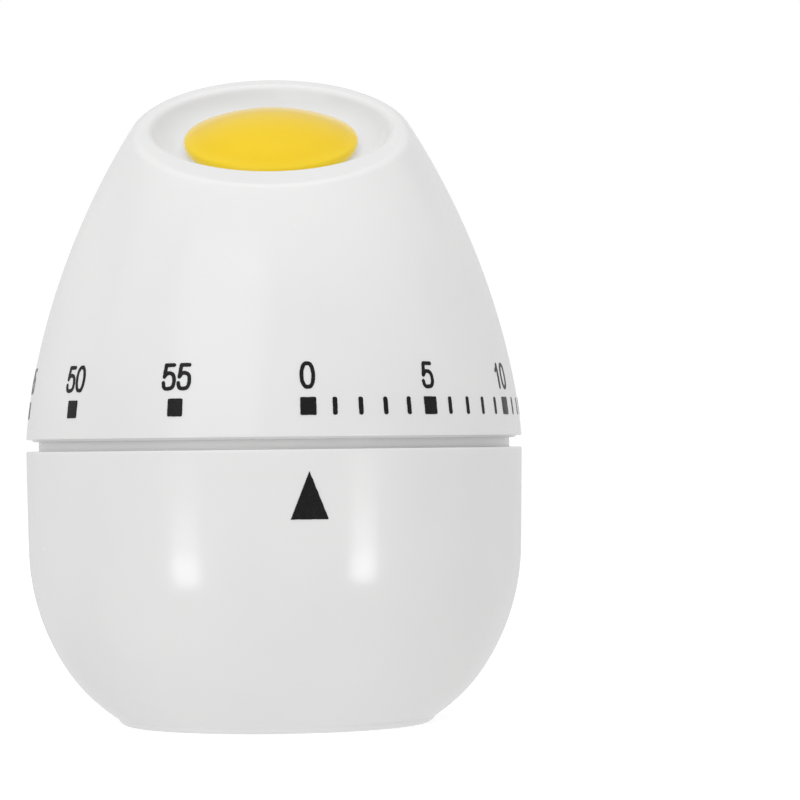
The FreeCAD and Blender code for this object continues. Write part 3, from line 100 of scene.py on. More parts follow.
# The yolk cap, with heights from the crater's rim plane.
YOLK_BORE, YOLK_CROWN, YOLK_RIM, YOLK_TUCK = 9.28, 10.28, 10.55, 0.45
YOLK_CEILING, YOLK_EDGE, YOLK_SHOULDER, YOLK_TOP = -0.1, -1.95, -1.4, 1.0
YOLK_TUCK_ARC, YOLK_EDGE_ARC = 1.4, 0.65
PEG = [(0, -4.9), (1.0, -4.9), (1.2, -4.7), (1.2, -1.3), (0, -1.3)]
PEG_PLACES = (-6.0, 6.0)


# ---------------------------------------------------------------- outlines in (radius, height)


def arc_centre(start, end, radius):
    """Centre of an arc: left of the way from start to end for a positive radius."""
    start, end = Vector(start), Vector(end)
    half = (end - start) / 2
    side = Vector((-half.y, half.x)).normalized()
    return start + half + side * math.copysign(math.sqrt(radius ** 2 - half.length_squared), radius)


def arc_points(start, end, radius, step=0.7):
    centre = arc_centre(start, end, radius)
    first, last = Vector(start) - centre, Vector(end) - centre
    sweep = first.angle(last)
    if first.x * last.y - first.y * last.x < 0:
        sweep = -sweep
    count = max(2, math.ceil(abs(sweep * radius) / step), math.ceil(abs(sweep) / 0.12))
    turns = (Matrix.Rotation(sweep * i / count, 2) for i in range(count + 1))
    return [centre + turn @ first for turn in turns]


def line_points(start, end, step=1.5):
    start, end = Vector(start), Vector(end)
    count = max(1, math.ceil((end - start).length / step))
    return [start.lerp(end, i / count) for i in range(count + 1)]


def trimmed(points, reach):
    """A line of points without its first stretch."""
    for index, (a, b) in enumerate(zip(points, points[1:])):
        length = (b - a).length
        if length > reach:
            return [a.lerp(b, reach / length)] + points[index + 1:]
        reach -= length
    return points[-1:]


def outline(corners, arcs, soft, closed=True):
    """Points round an outline: arcs are {side: radius} and soft is {corner: reach of its rounding}."""
    sides = zip(corners, corners[1:] + corners[:1] if closed else corners[1:])
    runs = [arc_points(a, b, arcs[i]) if i in arcs else line_points(a, b)
            for i, (a, b) in enumerate(sides)]
    for corner, reach in soft.items():
        runs[corner] = trimmed(runs[corner], reach)
        runs[corner - 1] = trimmed(runs[corner - 1][::-1], reach)[::-1]
    points = []
    for index, run in enumerate(runs):
        if index in soft:
            a, b, c = runs[index - 1][-1], Vector(corners[index]), run[0]
            points += [a.lerp(b, t).lerp(b.lerp(c, t), t) for t in (0.2, 0.4, 0.6, 0.8)]
            points += run
        else:
            points += run if index == 0 else run[1:]
    if closed and 0 not in soft:
        points.pop()
    return points


def flank_radius(height):
    """Outer radius of the dial at a height."""
    start, end, radius = FLANK_LOW if height < FLANK_LOW[1][1] else FLANK_HIGH
    centre = arc_centre(start, end, radius)
    return centre.x + math.sqrt(radius ** 2 - (height - centre.y) ** 2)


def side_radius(height):
    """Outer radius of the base's side wall at a height."""
    centre = arc_centre(*SIDE)
    return centre.x + math.sqrt(SIDE[2] ** 2 - (height - centre.y) ** 2)


# ---------------------------------------------------------------- meshes


def solid(name, points, faces, smooth=True):
    mesh = bpy.data.meshes.new(name)
    mesh.from_pydata([Vector(p) * MM for p in points], [], faces)
    mesh.validate()
    mesh.polygons.foreach_set("use_smooth", [smooth] * len(mesh.polygons))
    item = bpy.data.objects.new(name, mesh)
    SCENE.collection.objects.link(item)
    return item


def skin(rings, looped=False, base=0):
    """Points and faces over rings of points; a ring of one point is a pole."""
    points, faces, starts = [], [], []
    for ring in rings:
        starts.append(base + len(points))
        points += ring
    order = list(range(len(rings)))
    pairs = list(zip(order, order[1:] + order[:1] if looped else order[1:]))
    for low, high in pairs:
        a, b = starts[low], starts[high]
        count = max(len(rings[low]), len(rings[high]))
        for i in range(count):
            j = (i + 1) % count
            if len(rings[low]) == 1:
                faces.append((a, b + j, b + i))
            elif len(rings[high]) == 1:
                faces.append((a + i, a + j, b))
            else:
                faces.append((a + i, a + j, b + j, b + i))
    return points, faces


def turned_rings(line, steps=TURN_STEPS, centre=(0.0, 0.0)):
    """A line in (radius, height) turned round the upright through a centre."""
    rings = []
    for radius, height in line:
        if radius < 1e-6:
            rings.append([Vector((centre[0], centre[1], height))])
            continue
        angles = (math.tau * i / steps for i in range(steps))
        rings.append([Vector((centre[0] + radius * math.cos(a), centre[1] + radius * math.sin(a), height))
                      for a in angles])
    return rings


def gather(name, shells, sharp=35.0):
    """One object over several closed shells, shaded smooth up to a sharp edge angle."""
    points, faces = [], []
    for shell_points, shell_faces in shells:
        base = len(points)
        points += shell_points
        faces += [tuple(base + i for i in face) for face in shell_faces]
    item = solid(name, points, faces)
    item.data.set_sharp_from_angle(angle=math.radians(sharp))
    return item


def slab(line, thickness, degrees):
    """A flat rib: an outline in (radius, height), as thick on both sides of an upright plane."""
    angle = math.radians(degrees)
    out, side = Vector((math.cos(angle), math.sin(angle), 0)), Vector((-math.sin(angle), math.cos(angle), 0))
    rings = [[out * r + side * s + Vector((0, 0, z)) for r, z in line]
             for s in (-thickness / 2, thickness / 2)]
    points, faces = skin(rings)
    count = len(line)
    faces = [tuple(reversed(face)) for face in faces]
    faces.append(tuple(range(count)))
    faces.append(tuple(range(2 * count - 1, count - 1, -1)))
    return points, faces


# ---------------------------------------------------------------- case


def inner_arc(arc):
    """Arc radius of the base wall's inner side, run the other way."""
    return BASE_WALL - arc[2]


def make_base():
    """Lower half, with the floor ribs, posts and stop tab inside."""
    corners = [
        (SCREW_HOLE, WELL_DEPTH), (WELL_RADIUS, WELL_DEPTH), (WELL_RADIUS, RECESS_DEPTH),
        (RECESS_RADIUS, RECESS_DEPTH), (RECESS_RADIUS, 0.0), (FOOT_RADIUS, 0.0), LOWER[0], LOWER[1],
        ROUND[1], SIDE[1], (NECK_RADIUS, BASE_HEIGHT), (NECK_RADIUS, NECK_TOP), (NECK_INNER, NECK_TOP),
        (NECK_INNER, BASE_HEIGHT), (28.22, 21.2), (23.9, 7.5), (18.75, 2.4), (BOSS_RADIUS, 2.4),
        (BOSS_RADIUS, BOSS_TOP), (SCREW_HOLE, BOSS_TOP),
    ]
    arcs = {5: TOE_ARC, 6: LOWER[2], 7: ROUND[2], 8: SIDE[2], 14: inner_arc(ROUND), 15: inner_arc(LOWER)}
    soft = {1: 0.2, 2: 0.35, 3: 0.25, 4: 0.3, 9: 0.18, 10: 0.15, 11: 0.2, 12: 0.2, 17: 0.4, 18: 0.3}
    shells = [skin(turned_rings(outline(corners, arcs, soft)), looped=True)]
    for degrees in FLOOR_RIB_TURNS:
        shells.append(slab(FLOOR_RIB, RIB_THICKNESS, degrees))
    for degrees in POST_TURNS:
        angle = math.radians(degrees)
        centre = (POST_CIRCLE * math.cos(angle), POST_CIRCLE * math.sin(angle))
        shells.append(skin(turned_rings(POST, POST_STEPS, centre)))
    shells.append(slab(STOP_TAB, STOP_THICKNESS, STOP_TURN))
    return gather("base_skin", shells)


def crater_point(radius, angle, height):
    return CRATER @ Vector((radius * math.cos(angle), radius * math.sin(angle), height))


def meets_flank(angle, height, inset):
    """Crater radius at which a point at a crater height lies a given depth inside the flank."""
    centre = arc_centre(*FLANK_HIGH)
    near, far = 5.0, 28.0
    for _ in range(40):
        middle = (near + far) / 2
        point = crater_point(middle, angle, height)
        flat = Vector((point.xy.length, point.z))
        if (flat - centre).length < FLANK_HIGH[2] - inset:
            near = middle
        else:
            far = middle
    return near


def flank_normal(point):
    centre = arc_centre(*FLANK_HIGH)
    flat = (Vector((point.xy.length, point.z)) - centre).normalized()
    outward = point.xy.normalized()
    return Vector((outward.x * flat.x, outward.y * flat.x, flat.y))


def down_flank(point, low, radius_at, count, end_turn):
    """Points from one on a flank straight down to a height."""
    turn = math.atan2(point.y, point.x)
    swing = (end_turn - turn + math.pi) % math.tau - math.pi
    line = []
    for index in range(1, count + 1):
        part = index / count
        height = point.z + (low - point.z) * part
        radius = radius_at(height)
        line.append(Vector((radius * math.cos(turn + swing * part), radius * math.sin(turn + swing * part),
                            height)))
    return line


def dial_column(angle):
    """One line over the dial's wall: from the middle of the bowl, over the lip, round to the ceiling."""
    bowl = arc_points(*BOWL_SIDE, 0.25) + arc_points(*LIP_INSIDE, 0.09)[1:]
    points = [crater_point(radius, angle, BOWL_FLOOR) for radius in BOWL_FLOOR_RINGS]
    points += [crater_point(radius, angle, height) for radius, height in bowl]
    reach = meets_flank(angle, -LIP_FILLET, LIP_FILLET)
    inner = LIP_INSIDE[1][0]
    points += [crater_point(inner + (reach - inner) * part, angle, 0.0) for part in (0.33, 0.67)]
    hub = crater_point(reach, angle, -LIP_FILLET)
    up, out = (CRATER.to_3x3() @ Vector((0, 0, 1))).normalized(), flank_normal(hub)
    points += [hub + up.slerp(out, i / LIP_STEPS) * LIP_FILLET for i in range(LIP_STEPS + 1)]
    lip = points[-1]
    turn = math.atan2(lip.y, lip.x)
    points += down_flank(lip, DIAL_EDGE + 0.22, flank_radius, FLANK_STEPS, turn)
    points += [Vector((r * math.cos(turn), r * math.sin(turn), z)) for r, z in DIAL_FOOT]
    top = crater_point(meets_flank(angle, CEILING, DIAL_WALL), angle, CEILING)
    inside = down_flank(top, INSIDE_FOOT, lambda z: flank_radius(z) - DIAL_WALL, INSIDE_STEPS, turn)
    points += inside[::-1] + [top]
    reach = (CRATER.inverted() @ top).xy.length
    points += [crater_point(reach * part, angle, CEILING) for part in (0.75, 0.5, 0.25)]
    return points


def make_dial():
    """Upper half, with its boss, ribs and stop rib inside."""
    columns = [dial_column(math.tau * i / TURN_STEPS) for i in range(TURN_STEPS)]
    rings = [list(ring) for ring in zip(*columns)]
    rings = [[CRATER @ Vector((0, 0, BOWL_FLOOR))]] + rings + [[CRATER @ Vector((0, 0, CEILING))]]
    shells = [flipped(skin(rings))]
    boss = outline(DIAL_BOSS, {}, {0: 0.2, 1: 0.3})
    shells.append(skin(turned_rings(boss, BOSS_STEPS), looped=True))
    for degrees in DIAL_RIB_TURNS:
        # The crater leans to the front, so the front ribs meet its underside lower down.
        top = 61 if degrees > 180 else 66
        wall = [(flank_radius(z) - DIAL_RIB_INSET, z) for z in range(DIAL_RIB_FOOT, top + 1, 2)]
        rib = [(DIAL_RIB_INNER, DIAL_RIB_FOOT)] + wall + [(DIAL_RIB_INNER, DIAL_RIB_TOP)]
        shells.append(slab(rib, RIB_THICKNESS, degrees + math.degrees(CRATER_TURN)))
    shells.append(slab(DIAL_STOP, STOP_THICKNESS, STOP_TURN - STOP_CLEARANCE_TURN))
    return gather("dial_skin", shells)


def flipped(shell):
    points, faces = shell
    return points, [tuple(reversed(face)) for face in faces]


def dome_radius(reach, rise):
    """Radius of a dome from its half width and its height."""
    return (reach * reach + rise * rise) / (2 * rise)


def make_yolk():
    """Domed yellow cap that sits in the bowl on two pegs."""
    corners = [(0.0, YOLK_CEILING), (YOLK_BORE, YOLK_EDGE), (YOLK_BORE, BOWL_FLOOR),
               (YOLK_RIM - YOLK_TUCK, BOWL_FLOOR), (YOLK_RIM, YOLK_EDGE), (YOLK_CROWN, YOLK_SHOULDER),
               (0.0, YOLK_TOP)]
    arcs = {0: -dome_radius(YOLK_BORE, YOLK_CEILING - YOLK_EDGE), 3: YOLK_TUCK_ARC, 4: YOLK_EDGE_ARC,
            5: dome_radius(YOLK_CROWN, YOLK_TOP - YOLK_SHOULDER)}
    line = outline(corners, arcs, {}, closed=False)
    shells = [flipped(skin(turned_rings(line)[::-1]))]
    for side in PEG_PLACES:
        shells.append(skin(turned_rings(PEG, PEG_STEPS, (side, 0.0))))
    placed = [([CRATER @ point for point in points], faces) for points, faces in shells]
    yolk = gather("yolk_skin", placed)
    # It casts no yellow light on the bowl, whose wall is a neutral white in the photo.
    yolk.visible_diffuse = False
    return yolk


# ---------------------------------------------------------------- printing

INK_RAISE, INK_SINK = 0.03, 0.012
MARK_HEIGHT, MARK_WIDTH, MARK_LENGTH = 38.1, 1.86, 2.06
TICK_WIDTH, LAST_TICK = 0.56, 15
MARK_CORNER, TICK_CORNER = 0.14, 0.24
# Grid cells of the printing: numerals and pointer, and the marks.
FINE_CELL, MARK_CELL = 0.07, 0.09
DIGIT_BASE, DIGIT_WIDTH, DIGIT_RISE, DIGIT_GAP, STROKE = 40.05, 1.82, 3.14, 0.06, 0.45
POINTER_WIDTH, POINTER_RISE, POINTER_DROP = 4.4, 5.5, 2.5

# Each digit is its strokes in a box one wide and one high; a curved stroke is smoothed.
CURVED, STRAIGHT = True, False
STROKES = {
    "0": [(CURVED, [(0.5, 1.0), (0.3, 1.0), (0.08, 0.84), (-0.02, 0.5), (0.08, 0.16), (0.3, 0.0), (0.5, 0.0),
                    (0.7, 0.0), (0.92, 0.16), (1.02, 0.5), (0.92, 0.84), (0.7, 1.0), (0.5, 1.0)])],
    "1": [(STRAIGHT, [(0.62, 0.0), (0.62, 1.0)]), (CURVED, [(0.62, 1.0), (0.5, 0.84), (0.22, 0.74)])],
    "2": [(CURVED, [(0.03, 0.72), (0.05, 0.98), (0.5, 1.02), (0.98, 0.98), (0.98, 0.6), (0.5, 0.34),
                    (0.03, 0.0)]), (STRAIGHT, [(0.03, 0.0), (1.0, 0.0)])],
    "3": [(CURVED, [(0.03, 0.76), (0.1, 1.0), (0.5, 1.0), (0.95, 1.0), (0.95, 0.58), (0.38, 0.54)]),
          (CURVED, [(0.38, 0.54), (1.0, 0.54), (1.0, 0.0), (0.5, 0.0), (0.08, 0.0), (0.0, 0.25)])],
    "4": [(STRAIGHT, [(0.78, 0.0), (0.78, 1.0), (0.0, 0.3), (1.05, 0.3)])],
    "5": [(STRAIGHT, [(0.92, 1.0), (0.2, 1.0), (0.07, 0.5)]),
          (CURVED, [(0.07, 0.5), (0.28, 0.65), (0.55, 0.67), (0.9, 0.6), (1.02, 0.33), (0.9, 0.05),
                    (0.55, -0.01), (0.1, 0.0), (0.0, 0.24)])],
}


def rounded_path(points, times=3):
    """A path with its corners cut, again and again, between the same two ends."""
    for _ in range(times):
        path = [points[0]]
        for a, b in zip(points, points[1:]):
            path += [a.lerp(b, 0.25), a.lerp(b, 0.75)]
        points = path + [points[-1]]
    return points


def off_segment(point, a, b):
    along = b - a
    share = max(0.0, min(1.0, (point - a).dot(along) / along.length_squared))
    return (point - a - along * share).length


def ragged(point, seed):
    """How far the ink's edge strays at a point: a slow swell and a finer bite."""
    x, y = point
    return (0.016 * math.sin(5.1 * x + 2.3 * y + seed) * math.sin(4.3 * y - 1.7 * x + 2 * seed)
            + 0.014 * math.sin(17.0 * x + seed) * math.sin(15.0 * y + 3 * seed))


def digit_cover(digit, left):
    """Depth of a point inside a digit, below zero outside."""
    wide, tall = DIGIT_WIDTH - STROKE, DIGIT_RISE - STROKE
    lines = []
    for curved, box in STROKES[digit]:
        points = [Vector((left + STROKE / 2 + x * wide, DIGIT_BASE + STROKE / 2 + y * tall)) for x, y in box]
        lines.append(rounded_path(points) if curved else points)
    pieces = [pair for line in lines for pair in zip(line, line[1:]) if pair[0] != pair[1]]
    return lambda point: STROKE / 2 - min(off_segment(point, a, b) for a, b in pieces)


def box_cover(width, length, middle, corner):
    """Depth inside a box with rounded corners, as a function of a point."""
    def cover(point):
        x = abs(point.x) - width / 2 + corner
        y = abs(point.y - middle) - length / 2 + corner
        outside = math.hypot(max(x, 0.0), max(y, 0.0))
        return corner - outside - min(max(x, y), 0.0)
    return cover


def pointer_cover(point):
    """Depth of a point inside the pointer, a triangle with its tip up."""
    top = BASE_HEIGHT - POINTER_DROP
    slope = math.atan2(POINTER_WIDTH / 2, POINTER_RISE)
    flank = (top - point.y) * math.sin(slope) - abs(point.x) * math.cos(slope)
    return min(flank, point.y - (top - POINTER_RISE))


def print_shell(cover, low, high, turn, radius_at, seed, cell=FINE_CELL):
    """A thin closed patch of ink: where cover is positive on the upright plane, laid on the case."""
    columns = math.ceil((high[0] - low[0]) / cell)
    rows = math.ceil((high[1] - low[1]) / cell)
    spots = {}
    for i in range(columns + 1):
        for j in range(rows + 1):
            point = Vector((low[0] + i * cell, low[1] + j * cell))
            spots[i, j] = (point, cover(point) + ragged(point, seed))
    flat, number, tiles = [], {}, []

    def corner(key, point):
        if key not in number:
            number[key] = len(flat)
            flat.append(point)
        return number[key]

    for i in range(columns):
        for j in range(rows):
            keys = [(i, j), (i + 1, j), (i + 1, j + 1), (i, j + 1)]
            tile = []
            for a, b in zip(keys, keys[1:] + keys[:1]):
                (pa, da), (pb, db) = spots[a], spots[b]
                if da > 0:
                    tile.append(corner(a, pa))
                if (da > 0) != (db > 0):
                    tile.append(corner(tuple(sorted((a, b))), pa.lerp(pb, da / (da - db))))
            if len(tile) > 2:
                tiles.append(tile)
    return laid_on(flat, tiles, turn, radius_at)


def laid_on(flat, tiles, turn, radius_at):
    """A flat patch wrapped on the case, given a thickness and a wall along its rim."""
    count = len(flat)
    points = []
    for lift in (INK_RAISE, -INK_SINK):
        for x, z in flat:
            radius = radius_at(z)
            angle = math.asin(x / radius) - math.pi / 2 + math.radians(turn)
            radius += lift
            points.append(Vector((radius * math.cos(angle), radius * math.sin(angle), z)))
    sides = {}
    for tile in tiles:
        for edge in zip(tile, tile[1:] + tile[:1]):
            sides[edge] = True
    rims = [edge for edge in sides if (edge[1], edge[0]) not in sides]
    faces = [tuple(tile) for tile in tiles]
    faces += [tuple(count + i for i in reversed(tile)) for tile in tiles]
    faces += [(b, a, count + a, count + b) for a, b in rims]
    return points, faces


def make_marks():
    """A square every five minutes, and fine ticks over the first minutes."""
    shells = []
    for minute in range(60):
        square = minute % 5 == 0
        if not square and minute >= LAST_TICK:
            continue
        width, corner = (MARK_WIDTH, MARK_CORNER) if square else (TICK_WIDTH, TICK_CORNER)
        reach = width / 2 + 0.1, MARK_LENGTH / 2 + 0.1
        shells.append(print_shell(box_cover(width, MARK_LENGTH, MARK_HEIGHT, corner),
                                  (-reach[0], MARK_HEIGHT - reach[1]), (reach[0], MARK_HEIGHT + reach[1]),
                                  6 * minute, flank_radius, 0.7 * minute, MARK_CELL))
    return gather("scale_marks_ink", shells, 60.0)


def make_numerals():
    """The minutes 0 to 55 in fives, above their marks."""
    shells = []
    for minute in range(0, 60, 5):
        digits = str(minute)
        span = len(digits) * DIGIT_WIDTH + (len(digits) - 1) * DIGIT_GAP
        for index, digit in enumerate(digits):
            left = -span / 2 + index * (DIGIT_WIDTH + DIGIT_GAP)
            shells.append(print_shell(digit_cover(digit, left), (left - 0.15, DIGIT_BASE - 0.15),
                                      (left + DIGIT_WIDTH + 0.2, DIGIT_BASE + DIGIT_RISE + 0.2),
                                      6 * minute, flank_radius, 1.3 * minute + index))
    return gather("scale_numerals_ink", shells, 60.0)


def make_pointer():
    top = BASE_HEIGHT - POINTER_DROP
    shell = print_shell(pointer_cover, (-POINTER_WIDTH / 2 - 0.2, top - POINTER_RISE - 0.2),
                        (POINTER_WIDTH / 2 + 0.2, top + 0.2), 0, side_radius, 0.4)
    return gather("pointer_ink", [shell], 60.0)


# ---------------------------------------------------------------- materials


def add_node(tree, kind, links=(), **values):
    """One shader node with its settings, and its sockets linked or set to a value."""
    node = tree.nodes.new("ShaderNode" + kind)
    for name, value in values.items():
        setattr(node, name, value)
    for socket, source in dict(links).items():
        if isinstance(source, bpy.types.NodeSocket):
            tree.links.new(source, node.inputs[socket])
        else:
            node.inputs[socket].default_value = source
    return node


class Nodes:
    """Short names for building one material's node tree."""

    def __init__(self, name):
        self.material = bpy.data.materials.new(name)
        self.material.use_nodes = True
        self.tree = self.material.node_tree
        self.shader = self.tree.nodes["Principled BSDF"]
        self.place = self.tree.nodes.new("ShaderNodeTexCoord").outputs["Object"]

    def add(self, kind, links=(), **values):
        return add_node(self.tree, kind, links, **values)

    def stretched(self, scale):
        return self.add("Mapping", {"Vector": self.place, "Scale": scale}).outputs[0]

    def noise(self, per_metre, detail=3.0, rough=0.5, place=None):
        links = {"Vector": place or self.place, "Scale": per_metre, "Detail": detail, "Roughness": rough}
        return self.add("TexNoise", links).outputs[0]

    def ramp(self, factor, stops):
        node = self.add("ValToRGB", {0: factor})
        marks = node.color_ramp.elements
        while len(marks) < len(stops):
            marks.new(0.5)
        for mark, (position, colour) in zip(marks, stops):
            mark.position = position
            mark.color = (*colour, 1.0) if isinstance(colour, tuple) else (colour, colour, colour, 1.0)
        return node.outputs[0]

    def span(self, factor, low, high, start=0.0, end=1.0):
        links = {0: factor, 1: start, 2: end, 3: low, 4: high}
        return self.add("MapRange", links).outputs[0]

    def mix(self, factor, first, second):
        return self.add("Mix", {0: factor, 6: first, 7: (*second, 1.0)}, data_type="RGBA").outputs[2]

    def maths(self, operation, *values):
        return self.add("Math", dict(enumerate(values)), operation=operation).outputs[0]

    def bumps(self, height, strength, depth_mm, before=None):
        links = {"Height": height, "Strength": strength, "Distance": depth_mm * MM}
        if before is not None:
            links["Normal"] = before
        return self.add("Bump", links).outputs[0]

    def set(self, **sockets):
        for name, source in sockets.items():
            socket = self.shader.inputs[name.replace("_", " ")]
            if isinstance(source, bpy.types.NodeSocket):
                self.tree.links.new(source, socket)
            else:
                socket.default_value = source


def hairlines(nodes, along, across, seed_turn):
    """Thin faint scratches: a noise drawn out along one way, cut to its crests."""
    mapping = nodes.add("Mapping", {"Vector": nodes.place, "Rotation": (0.3, seed_turn, seed_turn * 1.7),
                                    "Scale": (across, along, across)})
    lines = nodes.noise(1.0, 2.0, 0.4, mapping.outputs[0])
    return nodes.span(lines, 0.0, 1.0, 0.66, 0.72)


def make_plastic(name, light, dark, gloss, glow, glow_reach):
    """Glossy moulded plastic: faint clouding, a soft skin texture and a few hairline scratches."""
    nodes = Nodes(name)
    cloud = nodes.noise(55.0, 3.0, 0.45)
    nodes.set(Base_Color=nodes.ramp(cloud, [(0.32, dark), (0.68, light)]))
    scratches = nodes.maths("ADD", hairlines(nodes, 60.0, 2600.0, 0.4), hairlines(nodes, 70.0, 2300.0, 1.9))
    film = nodes.span(nodes.noise(140.0, 4.0, 0.6), gloss, gloss + 0.05, 0.3, 0.7)
    nodes.set(Roughness=nodes.maths("MULTIPLY_ADD", scratches, 0.06, film))
    skin_bumps = nodes.bumps(nodes.noise(420.0, 2.0, 0.4), 0.10, 0.012)
    nodes.set(Normal=nodes.bumps(scratches, 0.04, -0.003, skin_bumps))
    nodes.set(IOR=1.53, Subsurface_Weight=glow, Subsurface_Scale=glow_reach * MM)
    return nodes


def make_yolk_plastic():
    """Yellow plastic with a painted sheen: its colour turns paler towards the rim of the dome."""
    nodes = make_plastic("yolk_plastic_look", (0.85, 0.60, 0.008), (0.82, 0.55, 0.005), 0.14, 0.15, 1.0)
    centre = CRATER @ Vector((0, 0, 0))
    shifted = nodes.add("VectorMath", {0: nodes.place, 1: centre * MM}, operation="SUBTRACT").outputs[0]
    distance = nodes.add("VectorMath", {0: shifted}, operation="LENGTH").outputs["Value"]
    # Painted sheen: the base colour is mixed paler towards the rim of the dome, in place of grazing light
    # there.
    rim = nodes.span(distance, 0.0, 0.5, 9.0 * MM, 10.6 * MM)
    clouded = nodes.shader.inputs["Base Color"].links[0].from_socket
    nodes.set(Base_Color=nodes.mix(rim, clouded, (0.92, 0.69, 0.04)))
    nodes.set(Specular_IOR_Level=0.2, Sheen_Weight=0.35, Sheen_Roughness=0.3)
    nodes.set(Subsurface_Radius=(1.0, 0.6, 0.15))
    return nodes.material


def make_white_plastic():
    nodes = make_plastic("white_plastic_look", (0.815, 0.815, 0.812), (0.785, 0.786, 0.785), 0.15, 0.18, 1.6)
    nodes.set(Subsurface_Radius=(1.0, 0.96, 0.9))
    return nodes.material


def make_ink():
    """Pad-printed black: slightly thin in places, with a dry surface."""
    nodes = Nodes("black_ink_look")
    grain = nodes.noise(5200.0, 3.0, 0.6)
    cloud = nodes.noise(700.0, 2.0, 0.5)
    nodes.set(Base_Color=nodes.ramp(grain, [(0.30, 0.004), (0.62, 0.009), (0.78, 0.05)]))
    nodes.set(Roughness=nodes.span(cloud, 0.22, 0.36, 0.3, 0.7), IOR=1.46, Specular_IOR_Level=0.22)
    nodes.set(Sheen_Weight=0.25, Sheen_Roughness=0.25)
    nodes.set(Normal=nodes.bumps(grain, 0.35, 0.01))
    return nodes.material


def make_metal(name, light, dark, rough, brushed_along=90.0, brushed_across=3800.0, spots=None):
    """Rolled or turned metal: fine brushing, uneven polish and slight tarnish."""
    nodes = Nodes(name)
    cloud = nodes.noise(260.0, 5.0, 0.6)
    colour = nodes.ramp(cloud, [(0.30, dark), (0.62, light)])
    brushing = nodes.noise(1.0, 3.0, 0.55, nodes.stretched((brushed_along, brushed_across, brushed_across)))
    if spots:
        stain = nodes.span(nodes.noise(900.0, 4.0, 0.7), 0.0, 0.6, 0.58, 0.72)
        colour = nodes.mix(stain, colour, spots)
    nodes.set(Base_Color=colour, Metallic=1.0)
    nodes.set(Roughness=nodes.span(brushing, rough - 0.07, rough + 0.10, 0.25, 0.75))
    nodes.set(Normal=nodes.bumps(brushing, 0.18, 0.006))
    return nodes.material


LOOKS = {
    "white_plastic": make_white_plastic(),
    "yolk_yellow": make_yolk_plastic(),
    "black_ink": make_ink(),
    "bell_steel": make_metal("bell_steel_look", (0.80, 0.80, 0.79), (0.70, 0.70, 0.70), 0.16),
    "plate_steel": make_metal("plate_steel_look", (0.62, 0.62, 0.61), (0.50, 0.50, 0.50), 0.34,
                              spots=(0.36, 0.33, 0.30)),
    "zinc_steel": make_metal("zinc_steel_look", (0.66, 0.67, 0.69), (0.55, 0.57, 0.60), 0.28,
                             spots=(0.60, 0.56, 0.44)),
    "spring_steel": make_metal("spring_steel_look", (0.22, 0.25, 0.34), (0.13, 0.15, 0.22), 0.24),
    "brass": make_metal("brass_look", (0.80, 0.60, 0.27), (0.68, 0.48, 0.19), 0.25,
                        spots=(0.50, 0.33, 0.14)),
}


def finish_cad_nodes():
    """Gives every node that stays the finish of its slot."""
    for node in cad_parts.values():
        for socket in node.material_slots:
            name = socket.material.name.split(".")[0]
            socket.material = LOOKS[name]


def dress(item, body, slot, *nodes):
    """Puts a made piece on its body, in place of CAD nodes, with the finish of its slot."""
    item.data.materials.append(LOOKS[slot])
    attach(item, body)
    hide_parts(*nodes)


finish_cad_nodes()
dress(make_base(), "base", "white_plastic", "base_shell")
dress(make_dial(), "dial", "white_plastic", "dial_shell")
dress(make_yolk(), "dial", "yolk_yellow", "yolk_cap")
dress(make_marks(), "dial", "black_ink", "scale_marks")
dress(make_numerals(), "dial", "black_ink", "scale_numerals")
dress(make_pointer(), "base", "black_ink", "pointer_mark")


# ---------------------------------------------------------------- stage, light and camera

VIEW_TURN = math.radians(-7.55)
VIEW_DISTANCE, VIEW_HEIGHT = 455.0, 33.7
LENS = 168.4
ROLL = math.radians(0.6)
# How far the timer's axis stands from the middle of the picture, at the camera's distance and height.
AXIS_ASIDE, AXIS_BELOW = -15.26, -5.472

# Greys of the surroundings from straight below to straight above.
WORLD_GREYS = [(0.0, 0.92), (0.5, 0.59), (1.0, 0.88)]
# Bands behind the timer: middle height, half-heights of their core and edge, and share of the light.
BANDS = [(0.72, 0.20, 0.38, 0.66), (0.0, 0.15, 0.45, 1.22)]


def make_camera():
    """Level camera in front of the seam, aimed so that the timer stands left of the middle."""
    data = bpy.data.cameras.new("camera")
    data.lens = LENS
    data.clip_start, data.clip_end = 0.02, 20.0
    camera = bpy.data.objects.new("camera", data)
    SCENE.collection.objects.link(camera)
    SCENE.camera = camera
    spot = Vector((math.sin(VIEW_TURN), -math.cos(VIEW_TURN), 0)) * VIEW_DISTANCE
    seen = Vector((AXIS_ASIDE, AXIS_BELOW, -VIEW_DISTANCE)).normalized()
    upright = Vector((-math.sin(ROLL), math.cos(ROLL), 0))
    upright = (upright - seen * upright.dot(seen)).normalized()
    ahead = -spot.normalized()
    world = Matrix((ahead, Vector((0, 0, 1)), ahead.cross(Vector((0, 0, 1))))).transposed()
    local = Matrix((seen, upright, seen.cross(upright)))
    camera.matrix_world = (Matrix.Translation((spot + Vector((0, 0, VIEW_HEIGHT))) * MM)
                           @ (world @ local).to_4x4())


def from_view(side, elevation, distance):
    """A point at an angle from the camera's direction, to the right when positive, in millimetres."""
    angle = VIEW_TURN + math.radians(side)
    rise = math.radians(elevation)
    level = distance * math.cos(rise)
    return Vector((math.sin(angle) * level, -math.cos(angle) * level, distance * math.sin(rise)))


def make_softbox(name, side, elevation, distance, size, watts, target=(0, 0, 40.0), spread=180.0):
    data = bpy.data.lights.new(name, "AREA")
    data.shape = "RECTANGLE"
    data.size, data.size_y = size[0] * MM, size[1] * MM
    data.energy = watts
    data.spread = math.radians(spread)
    light = bpy.data.objects.new(name, data)
    SCENE.collection.objects.link(light)
    aim = Vector(target)
    spot = aim + from_view(side, elevation, distance)
    light.matrix_world = Matrix.LocRotScale(spot * MM, (aim - spot).to_track_quat("-Z", "Y"), None)
    return light


